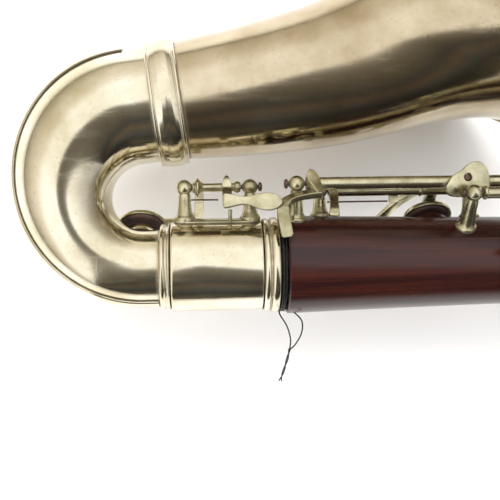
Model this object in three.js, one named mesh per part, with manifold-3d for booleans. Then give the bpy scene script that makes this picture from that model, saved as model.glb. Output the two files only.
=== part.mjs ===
// A bass clarinet lying on its side: nickel-silver bell and bow, two rosewood joints with padded
// keys on posts, a curved neck and an ebonite mouthpiece. Millimetres, +Z up.
// Everything is drawn round the axis of the wooden body, with x = 0 in the mouth plane of the bell's
// socket. +X runs up the body to the neck, and +Y points to the front, where the bell turns up. Round
// the body, an elevation of 0 degrees is +Y and 90 degrees is +Z. The last lines put the finished
// instrument with the bottom centre of its box at the origin.
import * as THREE from "three";
import { mergeVertices } from "three/addons/utils/BufferGeometryUtils.js";
import Module from "manifold-3d";

const wasm = await Module();
wasm.setup();

// ---------------------------------------------------------------- driving dimensions
const BORE = 11.8; // radius of the bore through both wooden joints
const WALL = 0.9; // thickness of the bell and bow sheet
const GAP = 0.3; // clearance between neighbouring pieces
const LOWER_LENGTH = 380; // socket mouth to the top of the lower joint
const UPPER_LENGTH = 300;
const LOWER_TOP = LOWER_LENGTH;
const UPPER_TOP = LOWER_LENGTH + UPPER_LENGTH;
const JOINT_RADIUS = 17.2; // outer radius of both joints along most of their length
const SHOULDER_X = 3.1; // start of the full-diameter wood above the socket
const SHOULDER_RADIUS = 19.1;
const TAPER_END = 95; // the lower joint's swelling dies away here

const SOCKET = {
  length: 41, outer: 17.3, collarWidth: 4.5, collarOuter: 16.4, ringWidth: 5.9, ringOuter: 18.6,
};
const TENON = { depth: 20, radius: 15.4, thread: 16.0, bunched: 18.2 };
const BOW = {
  bendX: -51.6, bendDepth: 30, bendHeight: 31, turn: 173, tail: 14, startRadius: 14.4, endRadius: 22,
  openBy: 160, // degrees of the bend over which the tube opens out
};
const BELL = {
  length: 121, mouthHeading: 38, throatRadius: 22, cone: 11, flare: 22.7, beadRadius: 1.7,
};
const NECK = {
  straight: 26, bendRadius: 38, bendAngle: 105, arm: 34, rootRadius: 12.3, tipRadius: 11.4,
};

const BALL = 3.1; // post ball radius
const SCREW_OUT = BALL + 0.3; // where a rod's screw head starts, from the middle of its post
const HINGE_BORE = 1.15;
const HINGE_ROD = 0.85;
const PAD_LIFT = 3.0; // how far an open pad stands off its tone hole
const CUP_DEPTH = 4.3;

const SIDES = { body: 24, bow: 18, bell: 24, ring: 24, cup: 14, small: 6, ball: 8 };

// Hinge lines, each parallel to the body: where they stand round it, and their distance from its axis.
const HINGES = {
  bell: { elevation: 8, distance: 30.5 },
  link: { elevation: 21.5, distance: 32.8 },
  vent: { elevation: -3, distance: 28.7 },
  crossover: { elevation: 40, distance: 33.2 },
  plateau: { elevation: 50, distance: 29 },
};

// ---------------------------------------------------------------- materials
const metal = (color, roughness) => new THREE.MeshStandardMaterial({ color, roughness, metalness: 1 });
const nickelSilver = metal(0xc9c2a4, 0.25);
const agedKeywork = metal(0xb3aa7c, 0.35);
const steel = metal(0x3a322e, 0.45);
const rosewood = new THREE.MeshStandardMaterial({ color: 0x3c1512, roughness: 0.2 });
const threadBlack = new THREE.MeshStandardMaterial({ color: 0x0d0c0c, roughness: 0.9 });
const padLeather = new THREE.MeshStandardMaterial({ color: 0x2a211c, roughness: 0.8 });
const ebonite = new THREE.MeshStandardMaterial({ color: 0x111111, roughness: 0.25 });
const cane = new THREE.MeshStandardMaterial({ color: 0xd9bf7e, roughness: 0.6 });

// ---------------------------------------------------------------- geometry helpers
const radians = THREE.MathUtils.degToRad;
const vec = (x, y, z) => new THREE.Vector3(x, y, z);
const around = (x, elevation, distance) =>
  vec(x, distance * Math.cos(radians(elevation)), distance * Math.sin(radians(elevation)));

function trianglesOf(geometry) {
  const bare = geometry.clone();
  bare.deleteAttribute("normal");
  bare.deleteAttribute("uv");
  return mergeVertices(bare, 1e-4);
}

function signedVolume(positions, triangles) {
  let sum = 0;
  const corner = [vec(), vec(), vec()];
  for (let i = 0; i < triangles.length; i += 3) {
    corner.forEach((c, k) => c.fromArray(positions, 3 * triangles[i + k]));
    sum += corner[0].dot(corner[1].cross(corner[2]));
  }
  return sum / 6;
}

// A closed geometry as a manifold solid, with its faces turned to point out.
function solid(geometry) {
  const merged = trianglesOf(geometry);
  const vertProperties = merged.attributes.position.array;
  const triVerts = new Uint32Array(merged.index.array);
  if (signedVolume(vertProperties, triVerts) < 0) {
    for (let i = 0; i < triVerts.length; i += 3) {
      [triVerts[i + 1], triVerts[i + 2]] = [triVerts[i + 2], triVerts[i + 1]];
    }
  }
  return new wasm.Manifold(new wasm.Mesh({ numProp: 3, vertProperties, triVerts }));
}

const union = (...solids) => solids.reduce((sum, s) => sum.add(s));
const cut = (body, ...tools) => tools.reduce((left, tool) => left.subtract(tool), body);

function named(name, shape, material) {
  const mesh = shape.getMesh();
  const geometry = new THREE.BufferGeometry();
  const count = mesh.vertProperties.length / mesh.numProp;
  const positions = new Float32Array(3 * count);
  for (let i = 0; i < count; i += 1) {
    positions.set(mesh.vertProperties.subarray(i * mesh.numProp, i * mesh.numProp + 3), 3 * i);
  }
  geometry.setAttribute("position", new THREE.BufferAttribute(positions, 3));
  geometry.setIndex(new THREE.BufferAttribute(mesh.triVerts, 1));
  const result = new THREE.Mesh(geometry, material);
  result.name = name;
  return result;
}

// A profile of [x, radius] pairs turned about the X axis.
function turnedX(profile, sides) {
  const points = profile.map(([x, radius]) => new THREE.Vector2(radius, x));
  return new THREE.LatheGeometry(points, sides).rotateZ(-Math.PI / 2);
}

// A profile of [radius, distance] pairs turned about a line that leaves the body's axis at x.
function turnedOut(profile, sides, x, elevation) {
  const points = profile.map(([radius, distance]) => new THREE.Vector2(radius, distance));
  return new THREE.LatheGeometry(points, sides).rotateX(radians(elevation)).translate(x, 0, 0);
}

const closedLoop = (profile) => [...profile, profile[0]];

function rodX(from, to, radius, centre, sides = SIDES.small) {
  const length = to - from;
  const geometry = new THREE.CylinderGeometry(radius, radius, length, sides).rotateZ(Math.PI / 2);
  return geometry.translate((from + to) / 2, centre.y, centre.z);
}

function rodOut(from, to, radius, x, elevation, sides = SIDES.cup) {
  return turnedOut([[0, from], [radius, from], [radius, to], [0, to]], sides, x, elevation);
}

// Rings of points joined in order. An open loft gets flat ends, and a closed one joins its last ring
// to its first, which makes a hollow tube when half the rings run back along the inside.
function loft(rings, closed = false) {
  const sides = rings[0].length;
  const positions = rings.flat().flatMap((p) => [p.x, p.y, p.z]);
  const triangles = [];
  const spans = closed ? rings.length : rings.length - 1;
  for (let i = 0; i < spans; i += 1) {
    const a = i * sides;
    const b = ((i + 1) % rings.length) * sides;
    for (let k = 0; k < sides; k += 1) {
      const next = (k + 1) % sides;
      triangles.push(a + k, b + k, a + next, a + next, b + k, b + next);
    }
  }
  if (!closed) {
    const last = (rings.length - 1) * sides;
    for (let k = 1; k < sides - 1; k += 1) {
      triangles.push(0, k, k + 1, last, last + k + 1, last + k);
    }
  }
  const geometry = new THREE.BufferGeometry();
  geometry.setAttribute("position", new THREE.Float32BufferAttribute(positions, 3));
  geometry.setIndex(triangles);
  return geometry;
}

// A ring round a station of a path that lies in the XY plane; angle 0 is the path's left-hand side.
function ringAt(station, radius, sides, sweep = 360) {
  const heading = radians(station.heading);
  const side = vec(-Math.sin(heading), Math.cos(heading), 0);
  const count = sweep === 360 ? sides : sides + 1;
  return Array.from({ length: count }, (_, k) => {
    const angle = radians(sweep === 360 ? (360 * k) / sides : sweep * (k / sides - 0.5));
    const out = side.clone().multiplyScalar(Math.cos(angle) * radius);
    return vec(station.x, station.y, 0).add(out).add(vec(0, 0, Math.sin(angle) * radius));
  });
}

// The station reached by going straight on from another one.
function onward(station, distance, radius = station.radius) {
  const heading = radians(station.heading);
  const { x, y } = station;
  return { ...station, x: x + distance * Math.cos(heading), y: y + distance * Math.sin(heading), radius };
}

// A sheet-metal tube along a path: stations hold x, y, heading and outer radius.
function sheetTube(stations, sides, wall = WALL) {
  const outer = stations.map((s) => ringAt(s, s.radius, sides));
  const inner = stations.map((s) => ringAt(s, s.radius - wall, sides)).reverse();
  return loft([...outer, ...inner], true);
}

const filledTube = (stations, sides, extra = 0) =>
  loft(stations.map((s) => ringAt(s, s.radius + extra, sides)));

// A flat bar through points: halfWidth lies across the bar and halfThickness along the normal, which
// is the direction away from the body's axis unless one is given. A number or a list of numbers.
function strap(points, halfWidth, halfThickness, normal = null) {
  const pick = (value, i) => (Array.isArray(value) ? value[i] : value);
  const rings = points.map((p, i) => {
    const before = points[Math.max(i - 1, 0)];
    const after = points[Math.min(i + 1, points.length - 1)];
    const along = after.clone().sub(before).normalize();
    const out = (normal ?? vec(0, p.y, p.z)).clone().normalize();
    out.addScaledVector(along, -out.dot(along)).normalize();
    const across = along.clone().cross(out);
    const width = pick(halfWidth, i);
    const thickness = pick(halfThickness, i);
    const corner = (a, b) => p.clone().addScaledVector(across, a * width).addScaledVector(out, b * thickness);
    return [corner(1, 1), corner(-1, 1), corner(-1, -1), corner(1, -1)];
  });
  return loft(rings);
}

// An oval finger touch whose top faces away from the body.
function touchPiece(x, elevation, distance, halfLength, halfWidth, thickness = 1.8) {
  const disc = new THREE.CylinderGeometry(1, 0.92, thickness, SIDES.cup);
  disc.scale(halfLength, 1, halfWidth).translate(0, distance, 0);
  return disc.rotateX(radians(elevation)).translate(x, 0, 0);
}

// ---------------------------------------------------------------- posts, cups, pads and hinges
const hingeCentre = (hinge) => around(0, hinge.elevation, hinge.distance);

const hingeHole = (from, to, hinge) => solid(rodX(from, to, HINGE_BORE, hingeCentre(hinge)));

function hingeTube(from, to, hinge, radius) {
  return solid(rodX(from, to, radius, hingeCentre(hinge), SIDES.ball));
}

// A turned post: spreading foot, waisted stem and ball, drilled across for the hinge rod.
function post(x, hinge, surface, elevation = hinge.elevation) {
  const top = hinge.distance;
  const profile = [[0, surface], [4, surface], [3.8, surface + 0.9], [2.9, surface + 2.6]];
  profile.push([2.4, surface + 4.6], [2.4, top - BALL + 0.9]);
  for (const angle of [-35, 5, 48, 90]) {
    profile.push([BALL * Math.cos(radians(angle)), top + BALL * Math.sin(radians(angle))]);
  }
  return cut(solid(turnedOut(profile, SIDES.ball, x, elevation)), hingeHole(x - 6, x + 6, hinge));
}

// A cup holds its pad in a recess; face is the pad's seat, measured from the body's axis.
function padCup(x, elevation, face, radius) {
  const profile = [
    [0, face + 2.9], [radius - 0.8, face + 2.9], [radius - 0.8, face + 0.9], [radius, face + 0.9],
    [radius, face + 2.8], [radius - 1.6, face + 3.7], [0, face + CUP_DEPTH],
  ];
  return solid(turnedOut(profile, SIDES.cup, x, elevation));
}

function pad(x, elevation, face, radius) {
  return solid(rodOut(face, face + 2.6, radius - 1.1, x, elevation));
}

// Key and pad hung on their hinge line and swung open by an angle in degrees.
function hung(hinge, openAngle, meshes) {
  const centre = hingeCentre(hinge);
  const pivot = new THREE.Group();
  pivot.position.copy(centre);
  pivot.rotation.x = radians(openAngle);
  for (const mesh of meshes) {
    mesh.position.copy(centre).negate();
    pivot.add(mesh);
  }
  return pivot;
}

// A hinge rod with its slotted head just outside the post at one end.
function steelRod(name, from, to, hinge) {
  const centre = hingeCentre(hinge);
  const out = Math.sign(from - to);
  const headEnds = [from - 0.2 * out, from + 1.5 * out];
  const head = solid(rodX(Math.min(...headEnds), Math.max(...headEnds), 1.6, centre));
  const shank = solid(rodX(Math.min(from, to), Math.max(from, to), HINGE_ROD, centre));
  return named(name, union(shank, head), steel);
}

const needleSpring = (name, from, to) => {
  const curve = new THREE.LineCurve3(from, to);
  const section = new THREE.Shape().absarc(0, 0, 0.35, 0, 2 * Math.PI);
  const options = { steps: 1, curveSegments: 3, extrudePath: curve };
  return named(name, solid(new THREE.ExtrudeGeometry(section, options)), steel);
};

// ---------------------------------------------------------------- bow and bell
function bowStations() {
  const stations = [{ x: -SOCKET.length - 0.5, y: 0, heading: 180, radius: BOW.startRadius }];
  const steps = 10;
  for (let i = 0; i <= steps; i += 1) {
    const turned = (BOW.turn * i) / steps;
    const rise = BOW.bendHeight * Math.sin(radians(turned));
    const run = -BOW.bendDepth * Math.cos(radians(turned));
    const opened = Math.sin(radians(90 * Math.min(1, turned / BOW.openBy))) ** 2.1;
    stations.push({
      x: BOW.bendX - BOW.bendDepth * Math.sin(radians(turned)),
      y: BOW.bendHeight * (1 - Math.cos(radians(turned))),
      heading: THREE.MathUtils.radToDeg(Math.atan2(rise, run)),
      radius: BOW.startRadius + (BOW.endRadius - BOW.startRadius) * opened,
    });
  }
  return [...stations, onward(stations.at(-1), BOW.tail, BOW.endRadius)];
}

// The bell carries on from the bow and turns ever more to the front while its bore opens out, first
// as a cone and then, close to the mouth, as a flare.
function bellStations() {
  const start = onward(bowStations().at(-1), GAP);
  const shares = [0, 0.2, 0.4, 0.57, 0.7, 0.81, 0.89, 0.95, 1];
  const stations = [];
  let place = start;
  shares.forEach((share, i) => {
    const step = BELL.length * (share - (shares[i - 1] ?? 0));
    const heading = start.heading + (BELL.mouthHeading - start.heading) * share ** 2.2;
    place = onward({ ...place, heading: (place.heading + heading) / 2 }, step);
    place.heading = heading;
    place.radius = BELL.throatRadius + BELL.cone * share + BELL.flare * share ** 10;
    stations.push(place);
  });
  return stations;
}

function makeBell() {
  const stations = bellStations();
  const mouth = stations.at(-1);
  const bead = Array.from({ length: 6 }, (_, k) => {
    const angle = radians(60 * k);
    const lip = onward(mouth, BELL.beadRadius * Math.sin(angle));
    return ringAt(lip, mouth.radius - WALL / 2 + BELL.beadRadius * Math.cos(angle), SIDES.bell);
  });
  const flare = union(solid(sheetTube(stations, SIDES.bell)), solid(loft(bead, true)));
  return named("bell_flare", flare, nickelSilver);
}

// The band that covers the soldered joint between bow and bell.
function makeBand() {
  const inner = BELL.throatRadius + 1.1;
  const joint = bowStations().at(-1);
  const section = [
    [-5.8, inner], [-5.8, inner + 0.6], [-4.6, inner + 1.3], [-1, inner + 1.6], [3.4, inner + 1.4],
    [5.4, inner + 0.7], [5.4, inner],
  ];
  const rings = section.map(([along, radius]) => ringAt(onward(joint, along), radius, SIDES.bow));
  return named("bell_band", solid(loft(rings, true)), nickelSilver);
}

const BELL_VENT = { x: -53.4, elevation: -45, rim: 17.8, outer: 7.2, bore: 6.3, cup: 10.4, openAngle: 5.2 };

function makeBow() {
  const hole = solid(rodOut(5, 20, BELL_VENT.bore, BELL_VENT.x, BELL_VENT.elevation));
  return named("bow_tube", cut(solid(sheetTube(bowStations(), SIDES.bow)), hole), nickelSilver);
}

// The raised tone hole on the underside of the bow, trimmed to sit on its surface.
function makeBowToneHole() {
  const { bore, outer, rim } = BELL_VENT;
  const profile = closedLoop([[bore, 8], [outer, 8], [outer, rim], [bore, rim]]);
  const chimney = solid(turnedOut(profile, SIDES.cup, BELL_VENT.x, BELL_VENT.elevation));
  const bow = solid(filledTube(bowStations(), SIDES.bow, GAP));
  return named("bell_tone_hole", cut(chimney, bow), nickelSilver);
}

// A raised strip along the outside of the bend that takes the wear.
function makeBowGuard() {
  const stations = bowStations().slice(1, -1);
  stations.unshift({ ...stations[0], x: -SOCKET.length - SOCKET.collarWidth - GAP });
  const sweep = 48;
  const rings = stations.map((s) => [
    ...ringAt(s, s.radius + 1.05, 4, sweep),
    ...ringAt(s, s.radius + GAP, 4, sweep).reverse(),
  ]);
  return named("bow_guard", solid(loft(rings)), nickelSilver);
}

// ---------------------------------------------------------------- socket and its fittings
function makeSocket() {
  const end = -SOCKET.length;
  const inner = SOCKET.outer - WALL;
  const tube = [
    [end, BOW.startRadius + GAP], [end, SOCKET.outer], [-SOCKET.ringWidth - GAP, SOCKET.outer],
    [-SOCKET.ringWidth - GAP, inner], [end + 1.5, inner], [end + 1.5, BOW.startRadius + GAP],
  ];
  const collar = [
    [end - GAP, BOW.startRadius + GAP], [end - GAP, SOCKET.collarOuter + 0.3],
    [end - 1.5, SOCKET.collarOuter - 0.4], [end - 3, SOCKET.collarOuter - 0.2],
    [end - SOCKET.collarWidth, SOCKET.collarOuter - 0.6],
    [end - SOCKET.collarWidth, BOW.startRadius + GAP],
  ];
  const ring = [
    [-SOCKET.ringWidth, inner], [-SOCKET.ringWidth, 17.9], [-4.9, 18.3], [-3.6, 18.1], [-3.2, 17.8],
    [-2.8, 18.4], [-1.6, SOCKET.ringOuter], [-0.2, 18.3], [0, 17.9], [0, inner],
  ];
  const turned = (profile) => solid(turnedX(closedLoop(profile), SIDES.ring));
  return [
    named("socket_tube", turned(tube), nickelSilver),
    named("bow_collar", turned(collar), nickelSilver),
    named("socket_ring", turned(ring), nickelSilver),
  ];
}

// The curved plate under the two bell-key posts, with the pin that the key's leaf rests over.
function makeSaddle() {
  const flat = { from: SOCKET.outer + 0.1, to: SOCKET.outer + 1.4 };
  const rings = [-39.4, -6.8].map((x) => [
    ...[-14, -5, 5, 14].map((turn) => around(x, HINGES.bell.elevation + turn, flat.to)),
    ...[14, 5, -5, -14].map((turn) => around(x, HINGES.bell.elevation + turn, flat.from)),
  ]);
  const stop = rodOut(flat.from + 0.6, 22.8, 0.8, -18.2, HINGES.bell.elevation + 11.5, SIDES.small);
  return named("bell_key_saddle", union(solid(loft(rings)), solid(stop)), agedKeywork);
}

// The bell key stands open. The link key's crook lifts its leaf, and that swings the cup shut.
function makeBellKey() {
  const hinge = HINGES.bell;
  const hole = BELL_VENT;
  const centre = hingeCentre(hinge);
  const collar = (x, radius) => {
    const profile = [[x - 2, 0], [x - 2, 2], [x, radius], [x + 2, 2], [x + 2, 0]];
    return solid(turnedX(profile, SIDES.small).translate(0, centre.y, centre.z));
  };
  const cupBack = around(hole.x, hole.elevation, hole.rim + CUP_DEPTH);
  const arm = [
    vec(-30, centre.y, centre.z), vec(-30, 28.6, -4), vec(-30, 24, -11), vec(-31, 18.6, -16.6),
    vec(-37, 16, -18.6), vec(-46, 15.6, -17.2), cupBack,
  ];
  const root = [
    vec(-19.3, centre.y + 3.8, centre.z + 0.6), vec(-19.3, centre.y + 1, centre.z + 2), vec(-19.3, 27.4, 9.4),
    vec(-19.4, 25, 12.8),
  ];
  const leaf = [
    vec(-20.8, 25.6, 12.9), vec(-17, 25.6, 13), vec(-12.6, 25.5, 13.8), vec(-7.5, 25.4, 14.9),
    vec(-3.5, 25.3, 16), vec(0.8, 25.2, 16.8),
  ];
  const key = union(
    hingeTube(-32, -13.9, hinge, 1.7),
    collar(-30.3, 3.7),
    solid(strap(arm, 1.8, 1.2)),
    solid(strap(root, [0.6, 1.9, 1.9, 1.6], 1.2)),
    solid(strap(leaf, [2.8, 2.4, 1.6, 2.7, 3.3, 1.8], 0.7, vec(0, 0.3, 1))),
    padCup(hole.x, hole.elevation, hole.rim + 0.1, hole.cup),
  );
  return [
    hung(hinge, hole.openAngle, [
      named("bell_key", cut(key, hingeHole(-40, -8, hinge)), agedKeywork),
      named("bell_key_pad", pad(hole.x, hole.elevation, hole.rim + 0.1, hole.cup), padLeather),
    ]),
    named("bell_post_low", post(-35.5, hinge, SOCKET.outer + 1.6), agedKeywork),
    named("bell_post_high", post(-10.4, hinge, SOCKET.outer + 1.6), agedKeywork),
    steelRod("bell_key_rod", -10.4 + SCREW_OUT, -38.2, hinge),
    needleSpring("bell_key_spring", vec(-33, 25.6, 3.2), vec(-22.6, 25.4, 4.4)),
  ];
}

// ---------------------------------------------------------------- wooden joints
const woodRadius = (x) => {
  const share = Math.max(0, (TAPER_END - x) / (TAPER_END - SHOULDER_X));
  return JOINT_RADIUS + (SHOULDER_RADIUS - JOINT_RADIUS) * share ** 1.3;
};

// Tone holes: a raised seat turned on the wood, drilled through to the bore.
const seat = (x, elevation, rim, radius) => solid(rodOut(BORE + 2, rim, radius, x, elevation));
const drilled = (x, elevation, radius) => solid(rodOut(5, 26, radius, x, elevation));

const SEAT_RIM = 19.8;
const fingerHole = (x, cup) => ({ x, elevation: 0, cup });
const HOLES = {
  ventLow: { x: 40, elevation: -62, cup: 9.6 },
  ventHigh: { x: 63.4, elevation: -32, cup: 9.8 },
  crossover: { x: 106, elevation: -45, cup: 11.2 },
  right: [fingerHole(197, 11.4), fingerHole(255, 11.4), fingerHole(313, 11)],
  left: [fingerHole(458, 10.6), fingerHole(514, 10.2), fingerHole(570, 9.8)],
};

function withHoles(body, holes) {
  const seats = holes.map((h) => seat(h.x, h.elevation, SEAT_RIM, h.cup - 2.6));
  const drills = holes.map((h) => drilled(h.x, h.elevation, h.cup - 4));
  const bore = solid(rodX(-30, UPPER_TOP + 10, BORE, vec(0, 0, 0), SIDES.body));
  return cut(union(body, ...seats), ...drills, bore);
}

function makeLowerJoint() {
  const top = LOWER_TOP;
  const profile = [[-TENON.depth, 0], [-TENON.depth, TENON.radius], [SHOULDER_X, TENON.radius]];
  for (const x of [SHOULDER_X, 20, 45, 70, TAPER_END]) {
    profile.push([x, woodRadius(x)]);
  }
  profile.push([top - 31, JOINT_RADIUS], [top - 22, 19.6], [top - 4.3, 20], [top - 4.3, 0]);
  const socket = solid(turnedX([[top - 24, 0], [top - 24, 15], [top, 15], [top, 0]], SIDES.body));
  const body = solid(turnedX(profile, SIDES.body));
  const holes = [HOLES.ventLow, HOLES.ventHigh, HOLES.crossover, ...HOLES.right];
  const wood = withHoles(cut(body, socket), holes);
  const ring = [
    [top - 4, 15.2], [top - 4, 20.6], [top - 3, 21], [top - 1, 21], [top - GAP, 20.6], [top - GAP, 15.2],
  ];
  return [
    named("lower_joint", wood, rosewood),
    named("lower_joint_ring", solid(turnedX(closedLoop(ring), SIDES.ring)), nickelSilver),
  ];
}

// The tenon's waxed thread, bunched at the socket's mouth, with one frayed end hanging loose.
function makeThread() {
  const inner = TENON.radius + 0.05;
  const profile = [
    [-17, inner], [-17, TENON.thread], [0.4, TENON.thread], [0.6, TENON.bunched - 0.3], [1.3, TENON.bunched],
    [2.1, TENON.bunched], [2.7, TENON.bunched - 0.3], [2.7, inner],
  ];
  const tail = new THREE.CatmullRomCurve3([
    vec(1.4, -17.4, 1.5), vec(2.2, -19.6, 2.2), vec(6, -22, 3), vec(9.5, -26, 2.5), vec(8, -33, 0),
    vec(4.5, -39, -1.5), vec(1.5, -46, -2),
  ]);
  const section = new THREE.Shape().absarc(0, 0, 0.35, 0, 2 * Math.PI);
  const string = new THREE.ExtrudeGeometry(section, { steps: 14, curveSegments: 3, extrudePath: tail });
  const wrapping = solid(turnedX(closedLoop(profile), SIDES.ring));
  return named("tenon_thread", union(wrapping, solid(string)), threadBlack);
}

// ---------------------------------------------------------------- keys of the lower joint
// The link key carries the player's touch across the joint to the bell key, with a crook that passes
// under the bell key's leaf and runs on round the body. A screwed lug half way along limits its swing.
function makeLinkKey() {
  const hinge = HINGES.link;
  const centre = hingeCentre(hinge);
  const low = 6.8;
  const high = 150;
  const crook = [
    vec(11.8, centre.y + 4.6, centre.z), vec(13.6, centre.y, centre.z + 1.6), vec(15, 27.2, 14.6),
    vec(11.2, 26.2, 14.8), vec(5.4, 25, 14.6), vec(2.3, 23, 13.6), vec(1.4, 18.4, 16.2), vec(1.9, 11, 19.8),
  ];
  const lever = [vec(136, centre.y, centre.z), vec(136, 29.8, 6), vec(136, 27.3, -1.5)];
  const lug = new THREE.CylinderGeometry(1, 1, 1.5, SIDES.cup).scale(8.4, 1, 6.9).rotateX(Math.PI / 2);
  const key = union(
    hingeTube(10.4, 146.6, hinge, 2.4),
    solid(strap(crook, [0.6, 2.4, 1.9, 1.9, 1.9, 2.2, 2.3, 2.2], 1.1)),
    solid(strap(lever, 2, 1.2)),
    solid(lug.translate(71.4, 30.9, centre.z + 3)),
    solid(touchPiece(140, -7, 27.4, 12, 5)),
  );
  return [
    named("link_key", cut(key, hingeHole(0, 160, hinge)), agedKeywork),
    named("link_post_low", post(low, hinge, woodRadius(low) + 0.05), agedKeywork),
    named("link_post_high", post(high, hinge, JOINT_RADIUS + 0.05), agedKeywork),
    steelRod("link_key_rod", low - SCREW_OUT, high + 3, hinge),
  ];
}

// A closed side key with two cups: one beside its hinge tube, and one that a crescent arm reaches
// round the back of the body. A lever lifts both.
function makeVentKey() {
  const hinge = HINGES.vent;
  const centre = hingeCentre(hinge);
  const { ventLow, ventHigh } = HOLES;
  const low = 17.4;
  const high = 77.2;
  const seatFace = SEAT_RIM + 0.1;
  const crescent = [
    vec(56.6, centre.y, centre.z), vec(55.4, 27.6, -7), vec(51.6, 24.6, -13), vec(46.4, 19, -18.6),
    around(ventLow.x, ventLow.elevation, SEAT_RIM + CUP_DEPTH),
  ];
  const stub = [
    vec(ventHigh.x, centre.y, centre.z), vec(ventHigh.x, 26.4, -6.4),
    around(ventHigh.x, ventHigh.elevation, SEAT_RIM + CUP_DEPTH),
  ];
  const lever = [
    vec(22.4, centre.y, centre.z), vec(22.2, 26, 4), vec(21.8, 21.4, 8.6), vec(21.4, 18.8, 11.3),
  ];
  const springBlock = new THREE.BoxGeometry(3.4, 3.4, 2.2).translate(47.4, 25.6, -3.2);
  const cup = (hole) => padCup(hole.x, hole.elevation, seatFace, hole.cup);
  const seated = (hole) => pad(hole.x, hole.elevation, seatFace, hole.cup);
  const key = union(
    hingeTube(low + BALL + 0.6, high - BALL - 0.6, hinge, 2.3),
    solid(strap(crescent, 1.9, 1.2)),
    solid(strap(stub, 2.2, 1.3)),
    solid(strap(lever, [1.8, 1.6, 1.6, 2], 1.2)),
    solid(springBlock),
    cup(ventLow),
    cup(ventHigh),
  );
  return [
    named("vent_key", cut(key, hingeHole(10, 84, hinge)), agedKeywork),
    named("vent_pad_low", seated(ventLow), padLeather),
    named("vent_pad_high", seated(ventHigh), padLeather),
    named("vent_post_low", post(low, hinge, woodRadius(low) + 0.05), agedKeywork),
    named("vent_post_high", post(high, hinge, woodRadius(high) + 0.05), agedKeywork),
    steelRod("vent_key_rod", high + SCREW_OUT, low - 3, hinge),
    needleSpring("vent_key_spring", vec(20.8, 24.4, -3.6), vec(45.2, 24.4, -3.8)),
  ];
}

// The crossover key arches over the two hinge lines beside it to reach its cup.
function makeCrossoverKey() {
  const hinge = HINGES.crossover;
  const centre = hingeCentre(hinge);
  const hole = HOLES.crossover;
  const low = 71.6;
  const high = 128;
  const x = 116;
  const arch = [
    vec(x, centre.y - 1, centre.z + 1.6), vec(x, 30, 22.8), vec(x, 34.4, 19.6), vec(x, 37.4, 14.4),
    vec(x, 38.6, 8), vec(x, 38, 0), vec(x, 35, -8), vec(x, 29.5, -15), vec(x - 1, 23.5, -18.5),
  ];
  const cupBack = around(hole.x, hole.elevation, SEAT_RIM + CUP_DEPTH);
  const reach = [vec(x - 1, 24.5, -18), vec(x - 4, 20, -18.6), cupBack];
  const lever = [vec(93, centre.y, centre.z), vec(93, 17.4, 24), vec(93, 9, 25.6)];
  const key = union(
    hingeTube(low + BALL + 0.4, high - BALL - 0.4, hinge, 2.2),
    solid(strap(arch, 2, 1.2)),
    solid(strap(reach, 2.0, 1.4)),
    solid(strap(lever, 2, 1.2)),
    solid(touchPiece(96, 76, 26.8, 12, 5)),
    padCup(hole.x, hole.elevation, SEAT_RIM + 0.1, hole.cup),
  );
  return [
    named("crossover_key", cut(key, hingeHole(60, 140, hinge)), agedKeywork),
    named("crossover_pad", pad(hole.x, hole.elevation, SEAT_RIM + 0.1, hole.cup), padLeather),
    named("crossover_post_low", post(low, hinge, woodRadius(low) + 0.05), agedKeywork),
    named("crossover_post_high", post(high, hinge, JOINT_RADIUS + 0.05), agedKeywork),
    steelRod("crossover_rod", low - SCREW_OUT, high + 3, hinge),
  ];
}

// Three open finger plates on one hinge line, whose posts stand on a common rib.
function makePlateauKeys(hand, holes, posts) {
  const hinge = HINGES.plateau;
  const centre = hingeCentre(hinge);
  const face = SEAT_RIM + 0.15;
  const openAngle = THREE.MathUtils.radToDeg(PAD_LIFT / centre.z);
  const ribFrom = JOINT_RADIUS + 0.1;
  const rib = [posts[0] - 5, posts[3] + 5].map((x) => [
    ...[-9, 0, 9].map((turn) => around(x, hinge.elevation + turn, ribFrom + 1.4)),
    ...[9, 0, -9].map((turn) => around(x, hinge.elevation + turn, ribFrom)),
  ]);
  const stand = union(solid(loft(rib)), ...posts.map((x) => post(x, hinge, ribFrom + 1)));
  const pieces = [
    named(`${hand}_hand_rib`, cut(stand, hingeHole(posts[0] - 9, posts[3] + 9, hinge)), agedKeywork),
    steelRod(`${hand}_hand_rod`, posts[0] - SCREW_OUT, posts[3] + 3, hinge),
  ];
  holes.forEach((hole, i) => {
    const back = face + CUP_DEPTH;
    const arm = [
      vec(hole.x, centre.y, centre.z), vec(hole.x, 24.2, 15), vec(hole.x, back + 0.4, 6),
      vec(hole.x, back + 0.3, -5),
    ];
    const key = union(
      hingeTube(posts[i] + BALL + GAP, posts[i + 1] - BALL - GAP, hinge, 2.1),
      solid(strap(arm, 2.2, 1.1)),
      padCup(hole.x, hole.elevation, face, hole.cup),
    );
    const finger = ["ring", "middle", "index"][i];
    pieces.push(hung(hinge, openAngle, [
      named(`${hand}_${finger}_key`, cut(key, hingeHole(posts[0], posts[3], hinge)), agedKeywork),
      named(`${hand}_${finger}_pad`, pad(hole.x, hole.elevation, face, hole.cup), padLeather),
    ]));
  });
  return pieces;
}

function makeThumbRest() {
  const back = -JOINT_RADIUS - 0.2;
  const plate = new THREE.BoxGeometry(26, 2, 13).translate(290, back - 1, 0);
  const bend = [vec(300, back - 1, 0), vec(300.5, back - 9, 0), vec(297, back - 15, 0)];
  const hook = strap(bend, [6, 6, 5], 1.2, vec(1, 0, 0));
  return named("thumb_rest", union(solid(plate), solid(hook)), agedKeywork);
}

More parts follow.
